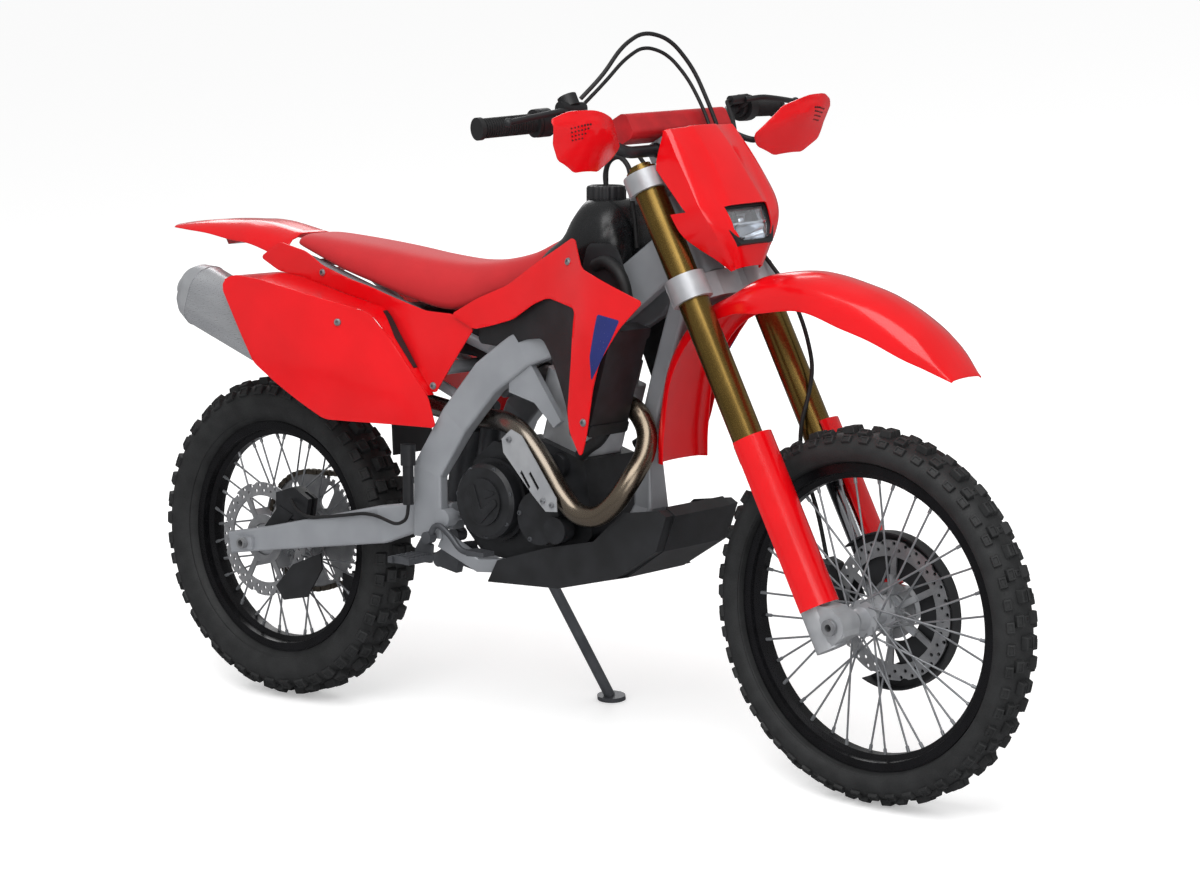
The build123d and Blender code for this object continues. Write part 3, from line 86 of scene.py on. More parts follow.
def node(tree, kind, settings=None, **links):
    """Adds a node; links are input name (underscores for spaces) to a value or to another node's output."""
    made = tree.nodes.new(kind)
    for name, value in (settings or {}).items():
        setattr(made, name, value)
    for name, value in links.items():
        key = int(name[1:]) if name[0] == "_" else name.replace("_", " ")
        if isinstance(value, bpy.types.NodeSocket):
            tree.links.new(value, made.inputs[key])
        else:
            made.inputs[key].default_value = value
    return made


def noise(tree, where, size_mm, detail=2.0):
    """Smooth random grain whose features are about size_mm across."""
    return node(tree, "ShaderNodeTexNoise", Vector=where, Scale=1000 / size_mm, Detail=detail).outputs["Fac"]


def blend_colours(tree, fac, first, second):
    """A mix of two hex colours, or of a colour socket and a hex colour."""
    mix = node(tree, "ShaderNodeMix", {"data_type": "RGBA"})
    for key, value in ((0, fac), (6, first), (7, second)):
        if isinstance(value, bpy.types.NodeSocket):
            tree.links.new(value, mix.inputs[key])
        else:
            mix.inputs[key].default_value = linear(value) if isinstance(value, str) else value
    return mix.outputs[2]


def between(tree, value, low, high, start=0.0, stop=1.0):
    """A value from start to stop, mapped to the range low to high."""
    return node(tree, "ShaderNodeMapRange", _0=value, _1=start, _2=stop, _3=low, _4=high).outputs[0]


def bumped(tree, height, depth_mm, under=None):
    """A bump of that depth, over an earlier bump if there is one."""
    bump = node(tree, "ShaderNodeBump", Height=height, Distance=depth_mm / 1000, Strength=1.0)
    if under:
        tree.links.new(under, bump.inputs["Normal"])
    return bump.outputs["Normal"]


MADE = {}


def finish(name, colours, roughness, grain_mm, depth_mm, patch_mm=60, metallic=0.0, stretch=None, **shader):
    """A material with patchy colour, grainy gloss and a fine bump; returns its tree, place and shader."""
    material = bpy.data.materials.new(name)
    material.use_nodes = True
    tree = material.node_tree
    tree.nodes.clear()
    where = node(tree, "ShaderNodeTexCoord").outputs["Object"]
    if stretch:
        where = node(tree, "ShaderNodeMapping", Vector=where, Scale=stretch).outputs[0]
    patches = noise(tree, where, patch_mm)
    grain = noise(tree, where, grain_mm, 3.0)
    colour = blend_colours(tree, between(tree, patches, 0, 1, 0.35, 0.65), *colours)
    gloss = between(tree, grain, roughness[0], roughness[1], 0.3, 0.7)
    normal = bumped(tree, grain, depth_mm)
    principled = node(tree, "ShaderNodeBsdfPrincipled", Base_Color=colour, Roughness=gloss, Normal=normal,
                      Metallic=metallic, **shader)
    node(tree, "ShaderNodeOutputMaterial", Surface=principled.outputs[0])
    material.diffuse_color = linear(colours[0])
    MADE[name] = material
    return tree, where, principled


# %% [markdown]
# ## Plastics
# The bodywork is injection-moulded polypropylene, dyed red all through: a high gloss with the slight
# orange peel of a polished mould. The black parts are the same plastic from a blasted mould, which
# leaves a fine matt grain. Rubber is duller still, and its surface is dusty in patches.

# %% Plastic and rubber
RED_PLASTIC = "moulded_red_polypropylene"
finish(RED_PLASTIC, ("#dc0410", "#d2030c"), (0.16, 0.24), 7, 0.02, 120, Coat_Weight=0.2, Coat_Roughness=0.06)
BLACK_PLASTIC = "blasted_black_polypropylene"
finish(BLACK_PLASTIC, ("#17181a", "#202124"), (0.42, 0.58), 0.9, 0.06)
TANK_PLASTIC = "glossy_black_tank_shell"
finish(TANK_PLASTIC, ("#101113", "#17181a"), (0.24, 0.3), 8, 0.004, 70)
BLUE_PLASTIC = "dark_blue_film_on_plastic"
finish(BLUE_PLASTIC, ("#232c6e", "#1e2764"), (0.2, 0.28), 6, 0.01, 90)
SEAT_VINYL = "grained_gripper_vinyl"
finish(SEAT_VINYL, ("#c0141c", "#bb121a"), (0.62, 0.74), 1.2, 0.12, 45, Sheen_Weight=0.08,
       Sheen_Roughness=0.5)
TYRE_RUBBER = "moulded_tyre_rubber"
finish(TYRE_RUBBER, ("#1b1c1d", "#242526"), (0.55, 0.75), 2.2, 0.12, 35)
RUBBER = "moulded_black_rubber"
finish(RUBBER, ("#141415", "#1c1c1e"), (0.5, 0.66), 1.2, 0.08)
PAD_VINYL = "red_vinyl_over_foam"
finish(PAD_VINYL, ("#b5121a", "#a10f16"), (0.4, 0.52), 1.5, 0.08, 30)
LAMP_LENS = "clear_polycarbonate_lens"
finish(LAMP_LENS, ("#f4f7fa", "#e9eef4"), (0.02, 0.05), 12, 0.01, 40, IOR=1.58, Transmission_Weight=0.92)
TAIL_LENS = "red_polycarbonate_lens"
finish(TAIL_LENS, ("#8c0a10", "#a30d14"), (0.08, 0.12), 5, 0.15, 20, Coat_Weight=0.5)

# %% [markdown]
# ## Metals
# The frame and swingarm are aluminium castings and extrusions under grey paint. Bare castings keep
# the sparkle of bead blasting; the fork's outer tubes are anodised a bronze gold and show the fine
# turning marks round them; the engine covers are coated satin black, and rub pale where boots touch.

# %% Metals
FRAME_PAINT = "grey_painted_aluminium"
finish(FRAME_PAINT, ("#8e9196", "#979a9f"), (0.34, 0.46), 1.6, 0.05, 70, Coat_Weight=0.25, Coat_Roughness=0.3,
       metallic=0.25)
CAST_ALLOY = "bead_blasted_aluminium"
finish(CAST_ALLOY, ("#bfc1c4", "#b0b2b6"), (0.34, 0.5), 1.1, 0.08, 40, metallic=0.6)
ENGINE_BLACK = "satin_black_coated_casting"
finish(ENGINE_BLACK, ("#1d1e20", "#26272a"), (0.34, 0.48), 1.4, 0.07, 30, metallic=0.2)
BRONZE = "bronze_anodised_aluminium"
finish(BRONZE, ("#8a703c", "#7c6434"), (0.2, 0.3), 0.8, 0.02, 80, metallic=0.95)
CHROME = "hard_chromed_steel"
finish(CHROME, ("#c9cbce", "#bcbec2"), (0.08, 0.16), 2.0, 0.01, 60, metallic=1.0)
BRUSHED_ALLOY = "brushed_aluminium_sheet"
finish(BRUSHED_ALLOY, ("#c2c4c7", "#b4b6ba"), (0.24, 0.4), 0.8, 0.02, 60, metallic=0.7, stretch=(0.06, 1, 1))
GROUND_STEEL = "ground_stainless_steel"
finish(GROUND_STEEL, ("#9b9c9e", "#8a8b8e"), (0.26, 0.42), 0.7, 0.02, 25, metallic=0.6)
RIM_BLACK = "black_anodised_aluminium"
finish(RIM_BLACK, ("#131315", "#1a1a1d"), (0.24, 0.34), 1.5, 0.02, 50, metallic=0.6)
ZINC = "zinc_plated_steel"
finish(ZINC, ("#96989b", "#838589"), (0.28, 0.42), 1.2, 0.03, 18, metallic=0.6)
CHAIN_STEEL = "oiled_chain_steel"
finish(CHAIN_STEEL, ("#6d655a", "#4c4842"), (0.3, 0.5), 1.5, 0.04, 14, metallic=0.9)
STEEL_PAINT = "dark_grey_painted_steel"
finish(STEEL_PAINT, ("#4a4c50", "#55575b"), (0.34, 0.48), 1.8, 0.04, 40, metallic=0.4)
STAINLESS = "heat_tinted_stainless_tube"
tree, where, tube = finish(STAINLESS, ("#8f8982", "#7d766e"), (0.2, 0.34), 1.4, 0.03, 45, metallic=1.0)
print(len(MADE), "finishes")

# %% [markdown]
# The exhaust header runs hot near the engine, and the steel there takes a straw and brown tint.
# A ramp along the machine, broken up with noise, gives those bands without an image.

# %% Heat tint on the header
TINT_BREAKUP_MM = 40
along = node(tree, "ShaderNodeSeparateXYZ", Vector=where).outputs[0]
wobble = node(tree, "ShaderNodeMath", {"operation": "MULTIPLY_ADD"},
              _0=noise(tree, where, TINT_BREAKUP_MM), _1=0.08, _2=along)
heat = between(tree, wobble.outputs[0], 0, 1, -0.3, 0.25)
tinted = blend_colours(tree, heat, "#8d8a86", "#85796a")
tree.links.new(tinted, tube.inputs["Base Color"])
print("header tinted")

# %% [markdown]
# ## Dressing the solids
# Each solid in the frame names a slot, such as painted alloy or rubber. One table says which finish
# a slot gets, so no solid is dressed by hand, and a new one is dressed as soon as it has its slot.
# Materials could be assigned in the viewport too, but a table can be read and changed in one place.

# %% Each solid takes its finish from its slot
SLOT_FINISH = {
    "red_plastic": RED_PLASTIC, "seat_cover": SEAT_VINYL, "black_plastic": BLACK_PLASTIC,
    "frame_alloy": FRAME_PAINT, "cast_alloy": CAST_ALLOY, "black_engine": ENGINE_BLACK,
    "bronze_anodised": BRONZE, "hard_chrome": CHROME, "exhaust_steel": STAINLESS,
    "silencer_alloy": BRUSHED_ALLOY, "machined_steel": GROUND_STEEL, "black_rim": RIM_BLACK,
    "zinc_spoke": ZINC, "tyre_rubber": TYRE_RUBBER, "rubber": RUBBER, "chain_steel": CHAIN_STEEL,
    "lens": LAMP_LENS, "pad_foam": PAD_VINYL, "steel_painted": STEEL_PAINT,
}
NODE_SLOT = {part["node"]: part["material_slot"] for part in frame["record"]["subparts"]}
for name, solid in NODES.items():
    solid.data.materials.clear()
    solid.data.materials.append(MADE[SLOT_FINISH[NODE_SLOT[name]]])
NODES["tail_light"].data.materials[0] = MADE[TAIL_LENS]
NODES["heat_shield"].data.materials[0] = MADE[CAST_ALLOY]
print(len(NODES), "solids dressed")

# %% [markdown]
# ## From points to pieces
# Most pieces below start as points on the upright machine, and every one goes through `add_piece`. It
# parks the mesh, gives it its finish, lets it ride on its body and, where it stands for a plainer
# solid, hides that solid. Modifiers such as Solidify and Bevel do the wall and the rounded rim, and
# are then turned into plain mesh.

# %% Helpers for pieces
def add_piece(name, mesh, body, material, matrix=BIKE, stands_for=(), modifiers=(), smooth_below=35):
    """Parks a mesh made in millimetres and lets it ride on its body; modifiers are (kind, settings)."""
    made = bpy.data.objects.new(name, mesh)
    bpy.context.scene.collection.objects.link(made)
    mesh.transform(matrix)
    if not mesh.materials:
        mesh.materials.append(MADE[material])
    for kind, settings in modifiers:
        modifier = made.modifiers.new(kind.lower(), kind)
        for key, value in settings.items():
            setattr(modifier, key, value)
    if modifiers:
        plain(made)
    made.data.polygons.foreach_set("use_smooth", [True] * len(made.data.polygons))
    made.data.set_sharp_from_angle(angle=radians(smooth_below))
    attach(made, body)
    if stands_for:
        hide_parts(*stands_for)
    return made


def hidden(name, mesh):
    """An object that only serves to be copied or to cut, and is removed again."""
    made = bpy.data.objects.new(name, mesh)
    bpy.context.scene.collection.objects.link(made)
    return made


def plain(thing):
    """Turns an object's modifiers into plain mesh."""
    graph = bpy.context.evaluated_depsgraph_get()
    mesh = bpy.data.meshes.new_from_object(thing.evaluated_get(graph))
    thing.modifiers.clear()
    thing.data = mesh


def mesh_of(name, points, faces):
    """A mesh with its doubles merged and its faces pointing outwards."""
    mesh = bpy.data.meshes.new(name)
    mesh.from_pydata([tuple(p) for p in points], [], faces)
    shell = bmesh.new()
    shell.from_mesh(mesh)
    bmesh.ops.remove_doubles(shell, verts=shell.verts, dist=0.01)
    bmesh.ops.recalc_face_normals(shell, faces=shell.faces)
    shell.to_mesh(mesh)
    shell.free()
    return mesh


def facing_along(mesh, axis):
    """Turns a skin's faces so that most of them look along an axis (0, 1 or 2)."""
    shell = bmesh.new()
    shell.from_mesh(mesh)
    if sum(face.normal[axis] * face.calc_area() for face in shell.faces) < 0:
        bmesh.ops.reverse_faces(shell, faces=shell.faces)
    shell.to_mesh(mesh)
    shell.free()
    return mesh


def capped(mesh, is_rim=lambda point: True):
    """Closes a skin's open rims whose points meet a test."""
    shell = bmesh.new()
    shell.from_mesh(mesh)
    rims = [edge for edge in shell.edges if edge.is_boundary and all(is_rim(v.co) for v in edge.verts)]
    bmesh.ops.holes_fill(shell, edges=rims)
    bmesh.ops.recalc_face_normals(shell, faces=shell.faces)
    shell.to_mesh(mesh)
    shell.free()
    return mesh


def wall(thickness_mm, offset=-1):
    """The modifier that gives a skin its thickness, inwards unless told otherwise."""
    return "SOLIDIFY", {"thickness": thickness_mm / 1000, "offset": offset}


def moulded_edge(width_mm, sharper_than=50):
    """The modifier that rounds a moulding's edges."""
    return "BEVEL", {"width": width_mm / 1000, "segments": 2, "limit_method": "ANGLE",
                     "angle_limit": radians(sharper_than)}


RIM = moulded_edge(1.0)


def joined(name, meshes):
    """Several meshes in one, with their materials in order."""
    shell = bmesh.new()
    materials = []
    for mesh in meshes:
        first = len(shell.faces)
        shell.from_mesh(mesh)
        shell.faces.ensure_lookup_table()
        for material in mesh.materials:
            if material not in materials:
                materials.append(material)
        for face in shell.faces[first:]:
            if mesh.materials:
                face.material_index = materials.index(mesh.materials[face.material_index])
    whole = bpy.data.meshes.new(name)
    shell.to_mesh(whole)
    shell.free()
    for material in materials:
        whole.materials.append(material)
    return whole


def grid_mesh(name, rows, closed=False):
    """A skin over rows of points; closed joins each row's end to its start."""
    width = len(rows[0])
    reach = width if closed else width - 1
    faces = []
    for r in range(len(rows) - 1):
        near, far = r * width, (r + 1) * width
        for c in range(reach):
            after = (c + 1) % width
            faces.append((near + c, near + after, far + after, far + c))
    return mesh_of(name, [p for row in rows for p in row], faces)


def flowing(stations, steps):
    """Stations of numbers, filled in with a smooth (Catmull-Rom) curve through them."""
    values = np.array(stations, float)
    padded = np.vstack([2 * values[0] - values[1], values, 2 * values[-1] - values[-2]])
    out = []
    for i in range(1, len(padded) - 2):
        a, b, c, d = padded[i - 1:i + 3]
        for t in np.linspace(0, 1, steps, endpoint=False):
            out.append(0.5 * (2 * b + (c - a) * t + (2 * a - 5 * b + 4 * c - d) * t * t
                              + (3 * b - a - 3 * c + d) * t ** 3))
    return np.array(out + [padded[-2]])


# %% [markdown]
# ## Knobbly tyres
# An off-road tyre is a smooth casing with separate blocks of rubber: pairs on the crown, pairs
# further out between them, and a row on each shoulder. The blocks could be one long displaced strip,
# but they are clean stubs with gaps between them, so one block is made and copied. One tree of nodes
# places it round a circle, turned outwards and tilted to the casing, and is run once for each row.

# %% One ring of blocks, as nodes
def geometry_tree(name, inputs):
    """An empty geometry tree with named inputs; returns it with its input and output nodes."""
    tree = bpy.data.node_groups.new(name, "GeometryNodeTree")
    tree.interface.new_socket("Geometry", in_out="INPUT", socket_type="NodeSocketGeometry")
    for socket, kind in inputs:
        tree.interface.new_socket(socket, in_out="INPUT", socket_type="NodeSocket" + kind)
    tree.interface.new_socket("Geometry", in_out="OUTPUT", socket_type="NodeSocketGeometry")
    return tree, tree.nodes.new("NodeGroupInput"), tree.nodes.new("NodeGroupOutput")


ring_tree, given, result = geometry_tree("ring_of_copies", (
    ("Radius", "Float"), ("Across", "Float"), ("Count", "Int"), ("Phase", "Float"), ("Tilt", "Float"),
    ("Copy", "Object"), ("Finish", "Material")))
circle = node(ring_tree, "GeometryNodeMeshCircle", Vertices=given.outputs["Count"],
              Radius=given.outputs["Radius"])
step = node(ring_tree, "ShaderNodeMath", {"operation": "DIVIDE"}, _0=2 * pi, _1=given.outputs["Count"])
place = node(ring_tree, "GeometryNodeInputIndex")
angle = node(ring_tree, "ShaderNodeMath", {"operation": "MULTIPLY"}, _0=place.outputs[0], _1=step.outputs[0])
facing_out = node(ring_tree, "ShaderNodeCombineXYZ", Y=given.outputs["Tilt"], Z=angle.outputs[0])
copy = node(ring_tree, "GeometryNodeObjectInfo", Object=given.outputs["Copy"])
spread = node(ring_tree, "GeometryNodeInstanceOnPoints", Points=circle.outputs["Mesh"],
              Instance=copy.outputs["Geometry"], Rotation=facing_out.outputs[0])
shift = node(ring_tree, "ShaderNodeCombineXYZ", Z=given.outputs["Across"])
spin = node(ring_tree, "ShaderNodeCombineXYZ", Z=given.outputs["Phase"])
moved = node(ring_tree, "GeometryNodeTransform", Geometry=spread.outputs[0], Translation=shift.outputs[0],
             Rotation=spin.outputs[0])
real = node(ring_tree, "GeometryNodeRealizeInstances", Geometry=moved.outputs[0])
coloured = node(ring_tree, "GeometryNodeSetMaterial", Geometry=real.outputs[0],
                Material=given.outputs["Finish"])
ring_tree.links.new(coloured.outputs[0], result.inputs[0])


def run_tree(tree, points=None, **inputs):
    """Runs a geometry tree on a mesh, or on an empty one, and returns the mesh that it makes."""
    holder = hidden("holder", points or bpy.data.meshes.new("holder"))
    modifier = holder.modifiers.new("copies", "NODES")
    modifier.node_group = tree
    for item in tree.interface.items_tree:
        if item.in_out == "INPUT" and item.name in inputs:
            modifier[item.identifier] = inputs[item.name]
    graph = bpy.context.evaluated_depsgraph_get()
    mesh = bpy.data.meshes.new_from_object(holder.evaluated_get(graph))
    bpy.data.objects.remove(holder)
    return mesh


# %% [markdown]
# The casing is a profile turned about the axle, from the crown down the side wall to the bead. Each
# block is a tapered stub whose tip is a shallow square cup, as the mould leaves it, and it keeps to
# a few dozen faces because it is repeated hundreds of times.

# %% Tyres
WHEEL_TURN = Matrix.Rotation(-pi / 2, 4, "X")
CHAMFER, CUP_RIM, CUP_DEPTH = 1.1, 0.8, 1.6


def block_mesh(name, length, width, height):
    """A tapered tread block whose tip is at x = 0: length runs round the tyre, width across it."""
    tip, foot = 1.0, 1.22
    shell = bmesh.new()
    bmesh.ops.create_cube(shell, size=1)
    for v in shell.verts:
        flare = tip if v.co.x > 0 else foot
        v.co = Vector((-height * (0.5 - v.co.x), v.co.y * length * flare, v.co.z * width * flare))
    bmesh.ops.bevel(shell, geom=[e for e in shell.edges if max(v.co.x for v in e.verts) > -0.01],
                    offset=CHAMFER, segments=1, affect="EDGES")
    tops = [f for f in shell.faces if f.normal.x > 0.99]
    bmesh.ops.inset_region(shell, faces=tops, thickness=min(length, width) * 0.2, depth=0)
    bmesh.ops.inset_region(shell, faces=tops, thickness=CUP_RIM, depth=-CUP_DEPTH)
    mesh = bpy.data.meshes.new(name)
    shell.to_mesh(mesh)
    shell.free()
    return mesh


def ring_mesh(name, profile, count=144):
    """A profile of (across, radius) turned into a closed ring about z."""
    rows = [[(r * cos(a), r * sin(a), y) for y, r in profile] for a in np.linspace(0, 2 * pi, count + 1)]
    return grid_mesh(name, rows, closed=True)


def knobbly_tyre(name, rows, casing, matrix, body, stands_for):
    """A casing with rows of blocks: (tip radius, across, count, phase, tilt, length, width, height)."""
    meshes = [ring_mesh(name + "_casing", casing)]
    meshes[0].materials.append(MADE[TYRE_RUBBER])
    for radius, across, count, phase, tilt, length, width, height in rows:
        block = hidden("block", block_mesh("block", length, width, height))
        for side in ((1, -1) if across else (1,)):
            meshes.append(run_tree(ring_tree, Radius=radius, Across=side * across, Count=count,
                                   Phase=2 * pi / count * phase, Tilt=radians(-side * tilt), Copy=block,
                                   Finish=MADE[TYRE_RUBBER]))
        bpy.data.objects.remove(block)
    tyre = add_piece(name, joined(name, meshes), body, TYRE_RUBBER, matrix @ WHEEL_TURN,
                     stands_for, smooth_below=30)
    print(name, len(tyre.data.polygons), "faces")


def both_halves(half):
    """A casing's profile from its right half."""
    return [(-y, r) for y, r in reversed(half)] + half[1 if half[0][0] == 0 else 0:]


FRONT_CASING = [(0, 335), (10, 334.6), (20, 332.5), (30, 328), (38, 320), (42, 311), (42.6, 303),
                (40.5, 295), (36, 289), (35, 287.6), (33.4, 287.8), (32, 286), (26, 283.6), (20.5, 282),
                (19.6, 276), (19.6, 269.7)]
REAR_CASING = [(0, 323), (14, 322.4), (28, 320), (40, 315), (50, 306), (55.5, 295), (56, 282), (52.5, 268),
               (46, 257), (44.6, 255.6), (42.8, 255.8), (41, 253), (34, 247.5), (27.6, 244.5), (26.6, 238),
               (26.6, 231.7)]
knobbly_tyre("front_knobbly_tyre", [
    (346.2, 8.5, 26, 0, 0, 21, 13, 12), (340.8, 24, 26, 0.5, 27, 20, 14, 12),
    (328.6, 38.2, 52, 0.25, 50, 19, 14, 13), (337.5, 0, 26, 0.5, 0, 12, 12, 5),
], both_halves(FRONT_CASING), FORK @ Matrix.Translation(FRONT_HUB), "front_wheel", ["front_tyre"])
knobbly_tyre("rear_knobbly_tyre", [
    (337.0, 12, 22, 0, 0, 25, 18, 15), (331.6, 32, 22, 0.5, 29, 25, 19, 15),
    (314.0, 51.2, 44, 0.25, 58, 23, 20, 16), (334.5, 0, 22, 0.5, 0, 17, 15, 12),
], both_halves(REAR_CASING), BIKE @ Matrix.Translation(REAR_AXLE), "rear_wheel", ["rear_tyre"])

# %% [markdown]
# ## Curved plastics
# Each side panel is a thin moulding that follows the machine's flank. It could be modelled patch by
# patch, but a panel is easier to read as an outline in side view and a few depths. A thin-plate
# surface, which bends like a sheet of spring steel, runs smoothly through those depths. The outline
# is cut into small cells, pushed out to that surface and thickened, and its rim is rounded so that
# it catches the light as a moulded edge does.

# %% Panels from an outline
SIDES = ((-1, "right"), (1, "left"))  # y grows to the rider's left
PLASTIC_WALL = 2.6
SLACK = 0.02  # how far the sheet may miss its points, which irons out small errors in them


def through_points(points):
    """A smooth surface y(x, z) through points (x, z, y), by thin-plate spline."""
    known = np.array(points, float)
    flat, depth = known[:, :2] / 100, known[:, 2]

    def bend(a, b):
        square = ((a[:, None] - b[None]) ** 2).sum(-1)
        return square * np.log(square + 1e-9)

    n = len(flat)
    system = np.zeros((n + 3, n + 3))
    system[:n, :n] = bend(flat, flat) + SLACK * np.eye(n)
    system[:n, n:] = np.c_[np.ones(n), flat]
    system[n:, :n] = system[:n, n:].transpose()
    weights = np.linalg.solve(system, np.r_[depth, 0, 0, 0])

    def surface(x, z):
        at = np.array([[x, z]]) / 100
        return float((bend(at, flat) @ weights[:n])[0] + weights[n] + at[0] @ weights[n + 1:])

    return surface


def rounded(outline, cut=7):
    """An outline with its corners cut twice, which leaves them softly rounded."""
    for share in (cut, cut * 0.35):
        new = []
        for i, point in enumerate(outline):
            here = Vector(point)
            for other in (Vector(outline[i - 1]), Vector(outline[(i + 1) % len(outline)])):
                gap = (other - here).length
                new.append(tuple(here + (other - here) * min(0.4, share / max(gap, 0.1))))
        outline = new
    return outline


def panel_mesh(name, outline, surface, side, cell=11, lift=0.0):
    """One panel's skin: side -1 is the right of the machine, 1 the left."""
    shell = bmesh.new()
    corners = [shell.verts.new((x, 0, z)) for x, z in outline]
    shell.faces.new(corners)
    for axis in (0, 2):
        values = [p[axis // 2] for p in outline]
        for cut in np.arange(min(values) + cell / 2, max(values), cell):
            plane = Vector((0, 0, 0))
            plane[axis] = cut
            normal = Vector((0, 0, 0))
            normal[axis] = 1
            bmesh.ops.bisect_plane(shell, geom=shell.verts[:] + shell.edges[:] + shell.faces[:], dist=0.3,
                                   plane_co=plane, plane_no=normal)
    for v in shell.verts:
        v.co.y = side * (surface(v.co.x, v.co.z) + lift)
    bmesh.ops.recalc_face_normals(shell, faces=shell.faces)
    if side * sum(f.normal.y * f.calc_area() for f in shell.faces) < 0:
        bmesh.ops.reverse_faces(shell, faces=shell.faces)
    mesh = bpy.data.meshes.new(name)
    shell.to_mesh(mesh)
    shell.free()
    return mesh


def side_panels(name, outline, points, material, stands_for=(), thickness=PLASTIC_WALL, lift=0.0,
                cut=7):
    """The same moulding on both sides of the machine."""
    surface = through_points(points)
    outline = rounded(outline, cut)
    for side, word in SIDES:
        mesh = panel_mesh(name, outline, surface, side, lift=lift)
        add_piece(f"{name}_{word}", mesh, "chassis", material, BIKE, stands_for if side < 0 else (),
                  [wall(thickness), RIM])
    return surface


# %% [markdown]
# The side covers close the space under the seat, the number panels stand out round the silencer, and
# the shrouds run from the seat over the radiators. Left and right are the same moulding mirrored, so
# each is written once. The blue patch is a thin film that lies on the shroud's own surface.

# %% Side covers, number panels and shrouds
cover_surface = side_panels("side_cover", [
    (-720, 934), (-664, 968), (-584, 952), (-532, 926), (-432, 901), (-332, 876), (-240, 852), (-165, 850),
    (-112, 826), (-160, 760), (-216, 688), (-232, 702), (-304, 797), (-344, 847), (-404, 862), (-500, 882),
    (-600, 902), (-660, 908)],
    [(-720, 934, 91), (-664, 968, 91), (-660, 908, 96), (-584, 952, 95), (-500, 915, 107), (-500, 888, 106),
     (-432, 901, 115), (-400, 868, 108), (-332, 876, 118), (-340, 852, 114), (-240, 852, 116),
     (-270, 800, 117), (-165, 850, 118), (-112, 826, 116), (-180, 790, 121), (-216, 688, 117)],
    RED_PLASTIC, ["side_covers"])
number_surface = side_panels("number_panel", [
    (-694, 898), (-668, 908), (-600, 902), (-500, 882), (-404, 862), (-345, 846), (-306, 796), (-222, 686),
    (-204, 624), (-300, 626), (-440, 630), (-560, 700), (-612, 734), (-700, 880)],
    [(-694, 898, 219), (-668, 908, 215), (-600, 902, 213), (-500, 882, 204), (-404, 862, 186),
     (-345, 846, 165), (-306, 796, 148), (-222, 686, 130), (-204, 624, 127), (-300, 626, 150),
     (-440, 630, 196), (-560, 700, 217), (-612, 734, 221), (-560, 800, 218), (-420, 740, 204),
     (-300, 700, 158)],
    RED_PLASTIC, ["number_panels"])
SHROUD = [
    (-165, 850), (-100, 884), (-20, 914), (60, 964), (150, 1014), (200, 960), (238, 950), (372, 908),
    (318, 858), (266, 790), (248, 740), (228, 650), (212, 608), (180, 655), (175, 690), (186, 790),
    (190, 884), (100, 898), (60, 884), (0, 850), (-60, 834), (-108, 824)]
SHROUD_POINTS = [
    (-165, 850, 125), (-100, 884, 122), (-20, 914, 124), (60, 964, 126), (150, 1014, 132), (200, 960, 172),
    (238, 950, 186), (372, 908, 206), (318, 858, 206), (266, 790, 202), (248, 740, 198), (228, 650, 192),
    (212, 608, 188), (180, 655, 182), (186, 790, 184), (190, 884, 178), (100, 898, 148), (60, 884, 142),
    (0, 850, 134), (-60, 834, 129), (-108, 824, 124), (220, 870, 192), (60, 920, 138)]
side_panels("tank_shroud", SHROUD, SHROUD_POINTS, RED_PLASTIC, ["tank_shrouds"])
side_panels("shroud_patch", [(262, 880), (318, 872), (300, 838), (262, 778), (246, 756), (242, 800)],
            SHROUD_POINTS, BLUE_PLASTIC, thickness=0.6, lift=0.5, cut=3)
print("side panels done")

# %% [markdown]
# ## Fenders
# A fender is an arch that changes as it runs back: flat and narrow at its tip, deep where it meets
# the fork. Stations give its crown, its edges and its half width; a smooth curve through them fills
# the rest. The same cross-section, flat along the middle with rolled lips, is scaled to each station,
# which keeps the lines along the fender unbroken; a plane bent by hand would wobble.

# %% Arched skins
ARCH = [(1.0, -0.03), (0.995, 0.05), (0.96, 0.34), (0.88, 0.62), (0.70, 0.80), (0.45, 0.92), (0.26, 0.975),
        (0.2, 0.99), (0.1, 1.0), (0, 1.0)]


def arch_rows(stations, steps=8, arch=ARCH):
    """Rows of points over an arch: each station is crown x, z, edge x, z and half width."""
    rows = []
    for crown_x, crown_z, edge_x, edge_z, half in flowing(stations, steps):
        right = [(edge_x + (crown_x - edge_x) * h, -half * w, edge_z + (crown_z - edge_z) * h)
                 for w, h in arch]
        rows.append(right + [(x, -y, z) for x, y, z in reversed(right[:-1])])
    return rows


def fender(name, stations, body, matrix, stands_for, arch=ARCH):
    """A fender from its stations."""
    mesh = facing_along(grid_mesh(name, arch_rows(stations, arch=arch)), 2)
    return add_piece(name, mesh, body, RED_PLASTIC, matrix, stands_for,
                     [wall(PLASTIC_WALL), RIM], smooth_below=40)


fender("front_fender_skin", [
    (450, 304, 446, 299, 44), (436, 368, 414, 342, 62), (415, 420, 384, 376, 70), (372, 486, 338, 430, 74),
    (318, 540, 291, 475, 76), (236, 602, 222, 538, 76), (134, 640, 126, 576, 70), (60, 642, 58, 601, 64),
    (-30, 640, -32, 604, 63), (-128, 590, -124, 556, 64), (-212, 492, -192, 470, 65),
    (-248, 430, -224, 418, 66),
], "steering", FORK, ["front_fender"])
REAR_ARCH = [(1.0, 0.0), (0.985, 0.12), (0.9, 0.5), (0.74, 0.78), (0.58, 0.86), (0.5, 0.96), (0.36, 1.0),
             (0.15, 1.0), (0, 1.0)]
fender("rear_fender_skin", [
    (-996, 992, -992, 985, 76), (-960, 997, -950, 981, 79), (-900, 1002, -888, 976, 82),
    (-830, 1004, -820, 966, 85), (-760, 1003, -750, 958, 87), (-652, 984, -654, 930, 87),
], "chassis", BIKE, ["rear_fender"], arch=REAR_ARCH)

